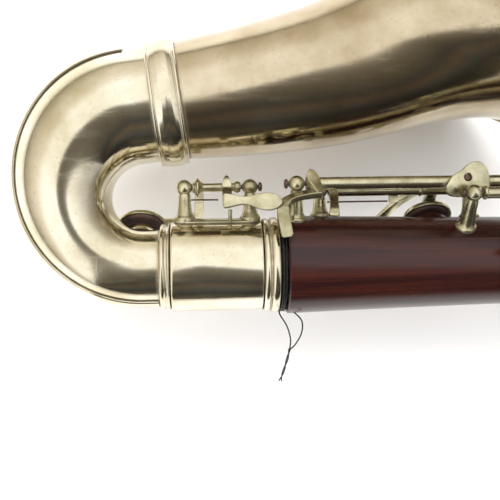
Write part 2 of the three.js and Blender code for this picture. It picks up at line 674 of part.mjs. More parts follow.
// ---------------------------------------------------------------- upper joint and register key
function makeUpperJoint() {
  const low = LOWER_TOP;
  const top = UPPER_TOP;
  const profile = [
    [low - 23, 0], [low - 23, 14.6], [low + 0.2, 14.6], [low + 0.2, 18.2], [low + 8, 17.6],
    [low + 30, JOINT_RADIUS], [top - 50, JOINT_RADIUS], [top - 34, 18.4], [top - 4.3, 18.8], [top - 4.3, 0],
  ];
  const socket = solid(turnedX([[top - 22, 0], [top - 22, 13.4], [top, 13.4], [top, 0]], SIDES.body));
  const wood = withHoles(cut(solid(turnedX(profile, SIDES.body)), socket), HOLES.left);
  const vent = solid(rodOut(8, 30, 1.6, REGISTER.padX, 180));
  const nipple = seat(REGISTER.padX, 180, REGISTER.rim, 4);
  const ring = [[top - 4, 13.6], [top - 4, 19.4], [top - 3, 19.8], [top - 1, 19.8], [top, 19.4], [top, 13.6]];
  const bore = solid(rodX(low - 30, top, BORE, vec(0, 0, 0), SIDES.body));
  return [
    named("upper_joint", cut(union(wood, nipple), vent, bore, socket), rosewood),
    named("upper_joint_ring", solid(turnedX(closedLoop(ring), SIDES.ring)), nickelSilver),
  ];
}

const REGISTER = { pivotX: 596, padX: 630, touchX: 556, rim: 19, distance: 24.5 };

// A see-saw at the back: the thumb presses its long end and the small pad lifts off its vent. Its pin
// is riveted through the saddle's ears.
function makeRegisterKey() {
  const pivot = vec(REGISTER.pivotX, -REGISTER.distance, 0);
  const surface = -JOINT_RADIUS - 0.2;
  const plate = new THREE.BoxGeometry(16, 1.6, 12).translate(pivot.x, surface - 0.8, 0);
  const ear = (z) => new THREE.BoxGeometry(6, 9.4, 1.6).translate(pivot.x, surface - 5.4, z);
  const across = (radius, half) => {
    const pin = new THREE.CylinderGeometry(radius, radius, 2 * half, SIDES.small).rotateX(Math.PI / 2);
    return solid(pin.translate(pivot.x, pivot.y, 0));
  };
  const saddle = union(solid(plate), solid(ear(5)), solid(ear(-5)), across(HINGE_ROD, 6.4));
  const padBack = REGISTER.rim + 0.1 + 3.4;
  const line = [
    vec(REGISTER.touchX, -24.5, 0), vec(REGISTER.touchX + 16, -25.5, 0), vec(pivot.x, pivot.y - 0.6, 0),
    vec(REGISTER.padX - 12, -25, 0), vec(REGISTER.padX, -padBack, 0),
  ];
  const cup = [
    [0, REGISTER.rim + 2.3], [4.7, REGISTER.rim + 2.3], [4.7, REGISTER.rim + 0.8], [5.6, REGISTER.rim + 0.8],
    [5.6, REGISTER.rim + 2.8], [0, REGISTER.rim + 3.8],
  ];
  const smallPad = rodOut(REGISTER.rim + 0.1, REGISTER.rim + 2, 4.4, REGISTER.padX, 180);
  const barrel = solid(new THREE.CylinderGeometry(2.2, 2.2, 7.6, SIDES.ball).rotateX(Math.PI / 2)
    .translate(pivot.x, pivot.y, 0));
  const key = union(
    barrel,
    solid(strap(line, [3, 2.2, 2.2, 1.8, 2], 1)),
    solid(touchPiece(REGISTER.touchX, 180, 24.7, 9, 6)),
    solid(turnedOut(cup, SIDES.cup, REGISTER.padX, 180)),
  );
  return [
    named("register_saddle", saddle, agedKeywork),
    named("register_key", cut(key, across(HINGE_BORE, 9)), agedKeywork),
    named("register_pad", solid(smallPad), padLeather),
  ];
}

// ---------------------------------------------------------------- neck, mouthpiece, reed and ligature
function neckStations() {
  const stations = [
    { x: UPPER_TOP - 20, y: 0, heading: 0, radius: NECK.rootRadius },
    { x: UPPER_TOP + NECK.straight, y: 0, heading: 0, radius: NECK.rootRadius },
  ];
  const steps = 7;
  for (let i = 1; i <= steps; i += 1) {
    const turned = (NECK.bendAngle * i) / steps;
    stations.push({
      x: UPPER_TOP + NECK.straight + NECK.bendRadius * Math.sin(radians(turned)),
      y: -NECK.bendRadius * (1 - Math.cos(radians(turned))),
      heading: -turned,
      radius: NECK.rootRadius + ((NECK.tipRadius - NECK.rootRadius) * i) / steps,
    });
  }
  return stations;
}

const alongArm = (distance, radius) => onward(neckStations().at(-1), distance, radius);

function makeNeck() {
  const receiver = [alongArm(NECK.arm - 22, 11.4), alongArm(NECK.arm - 20, 13.8), alongArm(NECK.arm, 14)];
  const tube = solid(sheetTube([...neckStations(), ...receiver], SIDES.bow));
  const cuffFrom = UPPER_TOP + GAP;
  const cuff = [
    [cuffFrom, 12], [cuffFrom, 15.4], [cuffFrom + 5, 15.8], [cuffFrom + 7, 14.4], [cuffFrom + 12, 14],
    [cuffFrom + 12, 12],
  ];
  return named("neck_tube", union(tube, solid(turnedX(closedLoop(cuff), SIDES.bow))), nickelSilver);
}

const MOUTHPIECE = { tenon: 18, length: 80, table: 9.6, beakFrom: 40 };

// Built along +X from the shoulder, with the reed's flat table underneath, then put on the neck.
function makeMouthpiece() {
  const { tenon, length, table, beakFrom } = MOUTHPIECE;
  const outside = [
    [-tenon, 0], [-tenon, 12.5], [0, 12.5], [0, 14.4], [4, 14.6], [beakFrom, 13.2], [length, 11.4],
    [length, 0],
  ];
  const body = solid(turnedX(outside, SIDES.body));
  const half = (shapePoints) => {
    const shape = new THREE.Shape(shapePoints.map(([x, y]) => new THREE.Vector2(x, y)));
    const prism = new THREE.ExtrudeGeometry(shape, { depth: 40, bevelEnabled: false, steps: 1 });
    return prism.translate(0, 0, -20);
  };
  const beak = solid(half([[beakFrom, 13.4], [length + 1, -table + 1.6], [length + 1, 20], [beakFrom, 20]]));
  const lay = solid(half([[12, -table], [12, -20], [length + 1, -20], [length + 1, -table]]));
  const bore = solid(rodX(-tenon - 1, 44, 7.4, vec(0, 0, 0), SIDES.cup));
  const window = solid(new THREE.BoxGeometry(34, 12, 11).translate(59, -table + 2, 0));
  const reedLine = [vec(14, -table - 2, 0), vec(44, -table - 2, 0), vec(78.5, -table - 0.8, 0)];
  const reed = strap(reedLine, [6, 6.4, 7.4], [1.7, 1.7, 0.5], vec(0, 1, 0));
  const bandProfile = [[16, 15.2], [16, 16.2], [26, 16.4], [36, 16.2], [36, 15.2]];
  const screw = (x) => {
    const shank = new THREE.CylinderGeometry(2.6, 2.6, 15, SIDES.ball).rotateX(Math.PI / 2);
    return solid(shank.translate(x, -17.6, 0));
  };
  const ligature = union(solid(turnedX(closedLoop(bandProfile), SIDES.body)), screw(20), screw(32));
  const group = new THREE.Group();
  const seatPlace = alongArm(NECK.arm + GAP, 0);
  group.position.set(seatPlace.x, seatPlace.y, 0);
  group.rotation.z = radians(seatPlace.heading);
  group.add(
    named("mouthpiece", cut(body, beak, lay, bore, window), ebonite),
    named("reed", solid(reed), cane),
    named("ligature", ligature, nickelSilver),
  );
  return group;
}

// ---------------------------------------------------------------- the whole instrument
const instrument = new THREE.Group();
instrument.add(
  makeBell(),
  makeBand(),
  makeBow(),
  makeBowToneHole(),
  makeBowGuard(),
  ...makeSocket(),
  makeSaddle(),
  ...makeBellKey(),
  ...makeLowerJoint(),
  makeThread(),
  ...makeLinkKey(),
  ...makeVentKey(),
  ...makeCrossoverKey(),
  ...makePlateauKeys("right", HOLES.right, [168, 226, 284, 342]),
  makeThumbRest(),
  ...makeUpperJoint(),
  ...makePlateauKeys("left", HOLES.left, [430, 486, 542, 598]),
  ...makeRegisterKey(),
  makeNeck(),
  makeMouthpiece(),
);

// The bottom centre of the instrument's box goes to the origin.
const box = new THREE.Box3().setFromObject(instrument, true);
const middle = box.getCenter(vec(0, 0, 0));
instrument.position.set(-middle.x, -middle.y, -box.min.z);

export default instrument;
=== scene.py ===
"""Fine surfaces, materials, stage and camera for the bass clarinet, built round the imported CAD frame.

Lengths are written in millimetres from the point where the body's axis meets the mouth plane of the bell's
socket, and put into the frame as each mesh is made: +X runs up the body, +Y to the front, +Z up. An elevation
is measured round the body, 0 at +Y and 90 at +Z.
"""

import random
from math import atan2, cos, degrees, pi, radians, sin, sqrt

import bmesh
import bpy
from mathutils import Matrix, Vector


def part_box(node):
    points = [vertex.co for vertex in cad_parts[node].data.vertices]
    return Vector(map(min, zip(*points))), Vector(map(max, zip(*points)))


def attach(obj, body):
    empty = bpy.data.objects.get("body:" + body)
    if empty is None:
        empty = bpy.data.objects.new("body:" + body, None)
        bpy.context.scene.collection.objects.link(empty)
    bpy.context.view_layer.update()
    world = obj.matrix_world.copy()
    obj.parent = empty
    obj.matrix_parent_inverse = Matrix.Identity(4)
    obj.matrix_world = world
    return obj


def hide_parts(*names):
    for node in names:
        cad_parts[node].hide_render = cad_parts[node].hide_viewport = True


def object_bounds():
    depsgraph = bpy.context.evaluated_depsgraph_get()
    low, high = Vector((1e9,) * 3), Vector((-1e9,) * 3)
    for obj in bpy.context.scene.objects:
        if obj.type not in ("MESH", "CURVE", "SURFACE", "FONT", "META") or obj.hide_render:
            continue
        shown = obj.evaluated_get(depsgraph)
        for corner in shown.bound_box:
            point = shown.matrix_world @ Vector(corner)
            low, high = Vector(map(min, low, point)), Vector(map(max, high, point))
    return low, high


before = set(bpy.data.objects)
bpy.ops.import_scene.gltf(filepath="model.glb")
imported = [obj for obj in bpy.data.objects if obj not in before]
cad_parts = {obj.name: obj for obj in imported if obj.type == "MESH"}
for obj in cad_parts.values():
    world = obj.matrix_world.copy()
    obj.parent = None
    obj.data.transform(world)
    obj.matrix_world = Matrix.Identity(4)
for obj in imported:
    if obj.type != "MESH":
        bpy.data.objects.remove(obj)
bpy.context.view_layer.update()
random.seed(7)

MM = 0.001
ring_low, ring_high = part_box("socket_ring")
SOCKET_MOUTH = Vector((ring_high.x, (ring_low.y + ring_high.y) / 2, (ring_low.z + ring_high.z) / 2))

# The two wooden joints, along the body and outward
LOWER_TOP = 380.0
UPPER_TOP = 680.0
BORE = 11.8
JOINT_RADIUS = 17.2
SHOULDER_X = 3.1
SHOULDER_RADIUS = 19.1
TAPER_END = 95.0

# Sheet metal: the socket, the bow that turns back from it, and the bell
WALL = 0.9
SOCKET_LENGTH = 41.0
SOCKET_RADIUS = 17.3
BEND_X = -51.6
BEND_DEPTH = 30.0
BEND_HEIGHT = 31.0
BEND_TURN = 173.0
BEND_TAIL = 14.0
BOW_START_RADIUS = 14.4
BOW_END_RADIUS = 22.0
BOW_OPEN_BY = 160.0
BELL_LENGTH = 121.0
BELL_CONE = 11.0
BELL_FLARE = 22.7
BELL_MOUTH_HEADING = 38.0
BEAD_RADIUS = 1.7
NECK_ARM = 34.0

# Keywork
BALL = 3.1
SCREW_OUT = BALL + 0.3
ROD_RADIUS = 0.85
SEAT_RIM = 19.8
SEAT_WIDTH = 2.6
PAD_GAP = 0.1
PAD_LIFT = 3.0
CUP_DEPTH = 4.3

# Each hinge line: its elevation and its distance from the body's axis
HINGES = {
    "bell": (8.0, 30.5),
    "link": (21.5, 32.8),
    "vent": (-3.0, 28.7),
    "crossover": (40.0, 33.2),
    "plateau": (50.0, 29.0),
}

# Each covered hole: its place along the body, its elevation and the radius of its cup
HOLES = {
    "vent_low": (40.0, -62.0, 9.6),
    "vent_high": (63.4, -32.0, 9.8),
    "crossover": (106.0, -45.0, 11.2),
}
FINGERS = ("ring", "middle", "index")
FINGER_HOLES = {
    "right": ((197.0, 11.4), (255.0, 11.4), (313.0, 11.0)),
    "left": ((458.0, 10.6), (514.0, 10.2), (570.0, 9.8)),
}
BELL_VENT = {"x": -53.4, "elevation": -45.0, "rim": 17.8, "outer": 7.2, "bore": 6.3, "cup": 10.4, "open": 5.2}
REGISTER = {"pivot": 596.0, "pad": 630.0, "touch": 556.0, "rim": 19.0, "distance": 24.5}


# ---------------------------------------------------------------- points and paths
def in_frame(point):
    """A drawn point, in millimetres from the socket's mouth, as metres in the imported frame."""
    return Vector(point) * MM + SOCKET_MOUTH


def around(x, elevation, distance):
    """A drawn point at a distance from the body's axis."""
    angle = radians(elevation)
    return Vector((x, distance * cos(angle), distance * sin(angle)))


def hinge_point(hinge, x=0):
    return around(x, *HINGES[hinge])


def shifted(base, profile):
    """A profile moved along its axis, for one that is drawn from a face or an end."""
    return [(base + along, radius) for along, radius in profile]


def full_turn(sides):
    return [2 * pi * k / sides for k in range(sides)]


def spline(points, count):
    """Points on a smooth curve through the given ones; each point is a tuple of any length."""
    pts = [Vector(p) for p in points]
    pts = [pts[0] * 2 - pts[1]] + pts + [pts[-1] * 2 - pts[-2]]
    result = []
    spans = len(pts) - 3
    for i in range(count + 1):
        t = i / count * spans
        k = min(int(t), spans - 1)
        t -= k
        a, b, c, d = pts[k : k + 4]
        curve = b * 2 + (c - a) * t + (a * 2 - b * 5 + c * 4 - d) * t**2 + (b * 3 - a - c * 3 + d) * t**3
        result.append(curve / 2)
    return result


def rounded(profile, radius=0.3, steps=3):
    """A profile with each inner corner replaced by a small arc."""
    pts = [Vector((p[0], p[1])) for p in profile]
    result = [pts[0]]
    for before, corner, after in zip(pts, pts[1:], pts[2:]):
        reach = min(radius, (corner - before).length / 2.2, (after - corner).length / 2.2)
        start = corner + (before - corner).normalized() * reach
        end = corner + (after - corner).normalized() * reach
        for i in range(steps + 1):
            t = i / steps
            result.append(start * (1 - t) ** 2 + corner * 2 * t * (1 - t) + end * t**2)
    result.append(pts[-1])
    return [(p.x, p.y) for p in result]


def arc(centre, radius, start, end, steps):
    angles = [radians(start + (end - start) * i / steps) for i in range(steps + 1)]
    return [(centre[0] + radius * cos(a), centre[1] + radius * sin(a)) for a in angles]


# ---------------------------------------------------------------- building meshes
class Shells:
    """Closed shells in millimetres that become one object."""

    def __init__(self):
        self.points = []
        self.faces = []

    def loft(self, rings, closed=False):
        base = len(self.points)
        sides = len(rings[0])
        for ring in rings:
            self.points.extend(Vector(p) for p in ring)
        spans = len(rings) if closed else len(rings) - 1
        for i in range(spans):
            a = base + i * sides
            b = base + (i + 1) % len(rings) * sides
            for k in range(sides):
                n = (k + 1) % sides
                self.faces.append((a + k, a + n, b + n, b + k))
        if not closed:
            last = base + (len(rings) - 1) * sides
            self.faces.append(tuple(base + k for k in reversed(range(sides))))
            self.faces.append(tuple(last + k for k in range(sides)))
        return self

    def turned(self, profile, origin, axis, sides=64, closed=False):
        """A profile of (distance along the axis, radius) pairs turned about an axis through origin."""
        axis = Vector(axis).normalized()
        u = axis.orthogonal().normalized()
        v = axis.cross(u)
        rings = []
        for along, radius in profile:
            centre = Vector(origin) + axis * along
            size = max(radius, 0.02)
            rings.append([centre + (u * cos(t) + v * sin(t)) * size for t in full_turn(sides)])
        return self.loft(rings, closed)

    def turned_x(self, profile, sides=96, closed=False, centre=(0, 0, 0)):
        return self.turned(profile, centre, (1, 0, 0), sides, closed)

    def turned_out(self, profile, x, elevation, sides=64, closed=False):
        """A profile of (distance from the body's axis, radius) pairs on a line leaving the body at x."""
        return self.turned(profile, (x, 0, 0), around(0, elevation, 1), sides, closed)

    def rod(self, start, end, radius, sides=32, edge=0.15):
        length = (Vector(end) - Vector(start)).length
        profile = rounded([(0, 0), (0, radius), (length, radius), (length, 0)], edge, 2)
        return self.turned(profile, start, Vector(end) - Vector(start), sides)

    def bar(self, points, half_width, half_thickness, normal=None, count=24, corner=0.45):
        """A key arm: a rounded flat section swept through the points. The flat faces away from the
        body's axis unless a normal is given; sizes are numbers or one for each point."""
        widths = half_width if isinstance(half_width, list) else [half_width] * len(points)
        depths = half_thickness if isinstance(half_thickness, list) else [half_thickness] * len(points)
        path = spline([(*p, w, t) for p, w, t in zip(points, widths, depths)], count)
        rings = []
        for i, sample in enumerate(path):
            here = Vector(sample[:3])
            before = Vector(path[max(i - 1, 0)][:3])
            after = Vector(path[min(i + 1, count)][:3])
            along = (after - before).normalized()
            out = Vector(normal) if normal else Vector((0, here.y, here.z))
            out = (out - along * out.dot(along)).normalized()
            across = along.cross(out)
            outline = section(max(sample[3], 0.2), max(sample[4], 0.15), corner)
            at_end = (i == count) - (i == 0)
            share = 0.62 if at_end else 1.0
            middle = here + along * 0.25 * at_end
            rings.append([middle + (across * a + out * b) * share for a, b in outline])
        return self.loft(rings)

    def moved(self, matrix):
        self.points = [matrix @ p for p in self.points]
        return self


def section(half_width, half_thickness, corner):
    """A rounded rectangle as a list of (across, out) pairs."""
    r = min(corner, half_width * 0.9, half_thickness * 0.9)
    result = []
    for sx, sy, start in ((1, 1, 0), (-1, 1, 90), (-1, -1, 180), (1, -1, 270)):
        centre = (sx * (half_width - r), sy * (half_thickness - r))
        result.extend(arc(centre, r, start, start + 90, 3))
    return result


def swung(hinge, angle):
    """The turn of a key about its hinge line, in degrees."""
    centre = hinge_point(hinge)
    turn = Matrix.Rotation(radians(angle), 4, "X")
    return Matrix.Translation(centre) @ turn @ Matrix.Translation(-centre)


def add_object(name, data):
    obj = bpy.data.objects.new(name, data)
    bpy.context.scene.collection.objects.link(obj)
    return obj


def mesh_of(name, shells):
    mesh = bpy.data.meshes.new(name)
    mesh.from_pydata([in_frame(p) for p in shells.points], [], shells.faces)
    return mesh


def piece(name, shells, body, material, slot, nodes, smooth=38, bevel=0.0):
    """One finished piece that rides on a body and stands for the named CAD nodes; edges under smooth
    degrees are shaded as one surface."""
    mesh = mesh_of(name, shells)
    work = bmesh.new()
    work.from_mesh(mesh)
    bmesh.ops.recalc_face_normals(work, faces=work.faces)
    work.to_mesh(mesh)
    work.free()
    mesh.polygons.foreach_set("use_smooth", [True] * len(mesh.polygons))
    mesh.set_sharp_from_angle(angle=radians(smooth))
    mesh.materials.append(material)
    obj = add_object(name, mesh)
    if bevel:
        modifier = obj.modifiers.new("edges", "BEVEL")
        modifier.width = bevel * MM
        modifier.segments = 2
        modifier.limit_method = "ANGLE"
        modifier.angle_limit = radians(50)
    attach(obj, body)
    if nodes:
        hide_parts(*nodes)
    return obj


# ---------------------------------------------------------------- material building
class Graph:
    """A small wrapper that adds and joins shader nodes."""

    def __init__(self, name, world=False):
        owner = bpy.data.worlds.new(name) if world else bpy.data.materials.new(name)
        owner.use_nodes = True
        self.owner = owner
        self.tree = owner.node_tree
        self.tree.nodes.clear()

    def add(self, kind, links=None, **settings):
        node = self.tree.nodes.new(kind)
        for key, value in settings.items():
            setattr(node, key, value)
        for socket, source in (links or {}).items():
            target = node.inputs[socket]
            if isinstance(source, bpy.types.NodeSocket):
                self.tree.links.new(source, target)
            else:
                target.default_value = source
        return node

    def coordinates(self, scale=(1, 1, 1)):
        source = self.add("ShaderNodeTexCoord").outputs["Object"]
        return self.add("ShaderNodeMapping", {"Vector": source, "Scale": scale}).outputs[0]

    def noise(self, scale, stretch=(1, 1, 1), detail=4.0, roughness=0.55, distortion=0.0):
        links = {"Vector": self.coordinates(stretch), "Scale": scale, "Detail": detail}
        links.update({"Roughness": roughness, "Distortion": distortion})
        return self.add("ShaderNodeTexNoise", links).outputs["Fac"]

    def ramp(self, value, low, high, to_low=0.0, to_high=1.0):
        links = {"Value": value, "From Min": low, "From Max": high, "To Min": to_low, "To Max": to_high}
        return self.add("ShaderNodeMapRange", links).outputs["Result"]

    def mix(self, factor, first, second, blend="MIX"):
        node = self.add("ShaderNodeMix", data_type="RGBA", blend_type=blend)
        for index, source in ((0, factor), (6, first), (7, second)):
            if isinstance(source, bpy.types.NodeSocket):
                self.tree.links.new(source, node.inputs[index])
            else:
                node.inputs[index].default_value = (*source, 1.0) if isinstance(source, tuple) else source
        return node.outputs[2]

    def math(self, operation, first, second=0.5):
        return self.add("ShaderNodeMath", {0: first, 1: second}, operation=operation).outputs[0]

    def bump(self, height, strength, distance, normal=None):
        links = {"Height": height, "Strength": strength, "Distance": distance}
        if normal:
            links["Normal"] = normal
        return self.add("ShaderNodeBump", links).outputs[0]

    def crevice(self, distance, low=0.45, high=0.9):
        """1 deep in a crevice and 0 in the open."""
        shade = self.add("ShaderNodeAmbientOcclusion", {"Distance": distance}, samples=6)
        return self.ramp(shade.outputs["AO"], low, high, 1.0, 0.0)

    def surface(self, tone, rough, normal, **others):
        """Ends a material. The others are inputs of the Principled shader, with _ for each space."""
        inputs = {"Base Color": tone, "Roughness": rough, "Normal": normal}
        inputs.update({name.replace("_", " "): value for name, value in others.items()})
        shader = self.add("ShaderNodeBsdfPrincipled", inputs)
        self.add("ShaderNodeOutputMaterial", {"Surface": shader.outputs[0]})
        return self.owner


def worn_metal(name, bright, dull, roughness, tarnish_scale, dirt_and_shade_reach, filed=0.05):
    """Nickel silver: cloudy tarnish between a bright and a dull tone, fine scratches, pits, brown dirt and
    painted shade in corners, and the soft unevenness of hand filing."""
    # Brown tone for the pits, and for the dirt and painted shade in corners
    grime_and_shade_tone = (0.075, 0.042, 0.020)
    g = Graph(name)
    cloud = g.ramp(g.noise(tarnish_scale, detail=6), 0.38, 0.66)
    speckle = g.ramp(g.noise(700, detail=3), 0.60, 0.78)
    scratches = g.ramp(g.noise(260, (0.12, 1, 1), detail=8, distortion=0.4), 0.52, 0.64)
    cross_scratches = g.ramp(g.noise(420, (1, 0.08, 1), detail=6, distortion=0.6), 0.56, 0.66)
    tone = g.mix(cloud, bright, dull)
    tone = g.mix(g.math("MULTIPLY", speckle, 0.22), tone, grime_and_shade_tone)
    # Painted shade: ambient occlusion darkens corners toward the brown tone, broken up by noise as dirt would
    # be
    dirt_and_shade = g.crevice(dirt_and_shade_reach * MM)
    patchy_dirt_and_shade = g.math("MULTIPLY", dirt_and_shade, g.ramp(g.noise(300), 0.3, 0.6, 0.35, 1.0))
    tone = g.mix(patchy_dirt_and_shade, tone, grime_and_shade_tone)
    rough = g.ramp(cloud, 0, 1, roughness, roughness * 1.7)
    rough = g.math("ADD", rough, g.math("MULTIPLY", scratches, 0.08))
    rough = g.math("ADD", rough, g.math("MULTIPLY", patchy_dirt_and_shade, 0.35))
    lines = g.math("MAXIMUM", scratches, cross_scratches)
    normal = g.bump(lines, 0.035, 0.0001)
    normal = g.bump(speckle, 0.08, 0.0001, normal)
    normal = g.bump(g.noise(60, detail=2), filed, 0.0005, normal)
    # Less metallic where the painted shade and dirt lie in corners
    return g.surface(tone, rough, normal, Metallic=g.ramp(patchy_dirt_and_shade, 0, 1, 1.0, 0.25))


def dark_steel():
    g = Graph("browned steel")
    cloud = g.ramp(g.noise(500, detail=5), 0.35, 0.65)
    tone = g.mix(cloud, (0.07, 0.045, 0.036), (0.17, 0.11, 0.075))
    normal = g.bump(g.noise(1500), 0.2, 0.0001)
    return g.surface(tone, g.ramp(cloud, 0, 1, 0.3, 0.6), normal, Metallic=0.85)


def rosewood():
    """Oiled dark wood: long streaks and pores that run up the body, under a thin gloss."""
    g = Graph("rosewood")
    streaks = g.noise(130, (0.045, 1, 1), detail=8, roughness=0.62, distortion=0.4)
    fine = g.noise(900, (0.03, 1, 1), detail=6, roughness=0.6)
    broad = g.noise(34, (0.25, 1, 1), detail=3)
    tone = g.mix(g.ramp(streaks, 0.40, 0.68), (0.014, 0.0034, 0.003), (0.044, 0.0085, 0.0045))
    tone = g.mix(g.math("MULTIPLY", g.ramp(fine, 0.56, 0.72), 0.35), tone, (0.085, 0.018, 0.008))
    tone = g.mix(g.math("MULTIPLY", g.ramp(broad, 0.42, 0.68), 0.65), tone, (0.016, 0.005, 0.005))
    pores = g.ramp(fine, 0.28, 0.40, 1.0, 0.0)
    rough = g.math("ADD", g.ramp(streaks, 0.3, 0.7, 0.20, 0.30), g.math("MULTIPLY", pores, 0.2))
    normal = g.bump(fine, 0.05, 0.0002)
    normal = g.bump(g.noise(40, (0.3, 1, 1)), 0.05, 0.0005, normal)
    dust = g.crevice(2.5 * MM, 0.35, 0.8)
    tone = g.mix(g.math("MULTIPLY", dust, 0.2), tone, (0.06, 0.045, 0.036))
    gloss = {"IOR": 1.5, "Specular_IOR_Level": 0.34, "Coat_Weight": 0.08, "Coat_Roughness": 0.1}
    return g.surface(tone, rough, normal, **gloss)


def waxed_thread():
    g = Graph("waxed thread")
    fibre = g.noise(1800, (1, 0.4, 0.4), detail=5)
    tone = g.mix(g.ramp(fibre, 0.35, 0.7), (0.004, 0.004, 0.004), (0.022, 0.019, 0.018))
    return g.surface(tone, 0.5, g.bump(fibre, 0.6, 0.0002), Specular_IOR_Level=0.25)


def pad_leather():
    g = Graph("pad leather")
    grain = g.add("ShaderNodeTexVoronoi", {"Vector": g.coordinates(), "Scale": 1700.0}).outputs["Distance"]
    cloud = g.ramp(g.noise(160), 0.35, 0.65)
    tone = g.mix(cloud, (0.028, 0.016, 0.014), (0.075, 0.042, 0.032))
    return g.surface(tone, 0.68, g.bump(grain, 0.35, 0.0002))


def ebonite():
    g = Graph("ebonite")
    cloud = g.ramp(g.noise(90), 0.35, 0.65)
    tone = g.mix(cloud, (0.010, 0.010, 0.011), (0.026, 0.023, 0.018))
    marks = g.ramp(g.noise(500, (0.2, 1, 1), detail=6), 0.55, 0.7)
    rough = g.math("ADD", g.ramp(cloud, 0, 1, 0.16, 0.26), g.math("MULTIPLY", marks, 0.15))
    return g.surface(tone, rough, g.bump(marks, 0.08, 0.0001))


def cane():
    g = Graph("cane")
    fibre = g.noise(700, (1, 0.03, 1), detail=5)
    tone = g.mix(g.ramp(fibre, 0.35, 0.65), (0.58, 0.42, 0.19), (0.74, 0.60, 0.34))
    return g.surface(tone, 0.6, g.bump(fibre, 0.25, 0.0002))


PLATE = worn_metal("plate", (0.76, 0.70, 0.56), (0.56, 0.50, 0.34), 0.085, 45, 1.6)
# Painted reflection: the bell's sheet is a darker, browner copy of the plate metal, standing for the
# golden-brown reflections of the keys
BELL_METAL_PAINTED_REFLECTION = worn_metal("bell metal with painted reflection", (0.58, 0.50, 0.36), (0.40, 0.32, 0.20), 0.10, 38, 1.6)
KEYWORK = worn_metal("key metal", (0.57, 0.53, 0.36), (0.35, 0.32, 0.19), 0.20, 130, 1.8, 0.55)
STEEL = dark_steel()
WOOD = rosewood()
THREAD = waxed_thread()
LEATHER = pad_leather()
EBONITE = ebonite()
CANE = cane()


def plate_piece(name, shells, nodes, body="body", **options):
    return piece(name, shells, body, PLATE, "nickel_silver", nodes, **options)


def key_piece(name, shells, nodes, body="body", **options):
    return piece(name, shells, body, KEYWORK, "keywork", nodes, **options)


def steel_piece(name, shells, nodes, body="body", **options):
    return piece(name, shells, body, STEEL, "steel", nodes, **options)


def ring_piece(name, profile, node, edge=0.4, sides=128):
    """A plated ring about the body's axis, from the corners of its section."""
    return plate_piece(name, Shells().turned_x(rounded(profile, edge), sides, closed=True), [node])


# ---------------------------------------------------------------- sheet-metal tubes
def onward(station, distance, radius=None):
    """A station further along its own heading. A station is (x, y, heading in degrees, radius)."""
    x, y, heading, old = station
    angle = radians(heading)
    return (x + distance * cos(angle), y + distance * sin(angle), heading, radius or old)


def station_ring(station, radius, sides, sweep=360.0):
    """A circle square to the heading, or the part of it within a sweep centred on the outside."""
    x, y, heading, _ = station
    angle = radians(heading)
    side = Vector((-sin(angle), cos(angle), 0))
    whole = sweep == 360.0
    first = 0.0 if whole else -sweep / 2
    turns = [radians(first + sweep * k / sides) for k in range(sides if whole else sides + 1)]
    centre = Vector((x, y, 0))
    return [centre + side * radius * cos(t) + Vector((0, 0, radius * sin(t))) for t in turns]


def sheet_tube(shells, stations, sides=112):
    """A tube of sheet metal through the stations, open at both ends."""
    outer = [station_ring(s, s[3], sides) for s in stations]
    inner = [station_ring(s, s[3] - WALL, sides) for s in reversed(stations)]
    return shells.loft(outer + inner, closed=True)


def bow_radius(turned):
    """The tube opens out over most of the bend."""
    opened = sin(radians(90 * min(1.0, turned / BOW_OPEN_BY))) ** 2.1
    return BOW_START_RADIUS + (BOW_END_RADIUS - BOW_START_RADIUS) * opened


def bow_stations(steps=72):
    """Half an ellipse, and a straight tail into the bell."""
    stations = [(-SOCKET_LENGTH - 0.5, 0, 180, BOW_START_RADIUS)]
    for i in range(steps + 1):
        turned = BEND_TURN * i / steps
        angle = radians(turned)
        x = BEND_X - BEND_DEPTH * sin(angle)
        y = BEND_HEIGHT * (1 - cos(angle))
        heading = degrees(atan2(BEND_HEIGHT * sin(angle), -BEND_DEPTH * cos(angle)))
        stations.append((x, y, heading, bow_radius(turned)))
    stations.append(onward(stations[-1], BEND_TAIL))
    return stations


def bell_stations(steps=90):
    """A slow cone that curls away from the body and flares only near the mouth."""
    place = onward(bow_stations()[-1], 0.3, BOW_END_RADIUS)
    first = place[2]
    stations = []
    for i in range(steps + 1):
        share = i / steps
        heading = first + (BELL_MOUTH_HEADING - first) * share**2.2
        halfway = (place[0], place[1], (place[2] + heading) / 2, place[3])
        moved = onward(halfway, BELL_LENGTH / steps if i else 0)
        radius = BOW_END_RADIUS + BELL_CONE * share + BELL_FLARE * share**10
        place = (moved[0], moved[1], heading, radius)
        stations.append(place)
    return stations


def build_bell():
    """The sheet of the bell, and the wire rolled into the edge of its mouth."""
    stations = bell_stations()
    sides = 160
    shells = sheet_tube(Shells(), stations, sides)
    mouth = stations[-1]
    bead = []
    for along, out in arc((0, 0), BEAD_RADIUS, 0, 360 * 15 / 16, 15):
        bead.append(station_ring(onward(mouth, along), mouth[3] - WALL / 2 + out, sides))
    shells.loft(bead, closed=True)
    # The darker bell metal paints in the reflections of the keys
    piece("bell", shells, "body", BELL_METAL_PAINTED_REFLECTION, "nickel_silver", ["bell_flare"])


def build_band():
    """A convex band with a bead along each edge."""
    joint = bow_stations()[-1]
    heights = [(-5.8, 0), (-5.8, 0.7), (-5.4, 1.05), (-4.8, 1.05), (-4.5, 0.75), (-4.0, 1.0), (-2.0, 1.5)]
    heights += [(0, 1.65), (2.0, 1.5), (3.6, 1.0), (4.0, 0.75), (4.3, 1.1), (4.9, 1.15), (5.4, 0.7), (5.4, 0)]
    profile = [(along, BOW_END_RADIUS + 1.05 + height) for along, height in heights]
    rings = [station_ring(onward(joint, along), radius, 144) for along, radius in rounded(profile, 0.35)]
    plate_piece("bell_joint_band", Shells().loft(rings, closed=True), ["bell_band"])


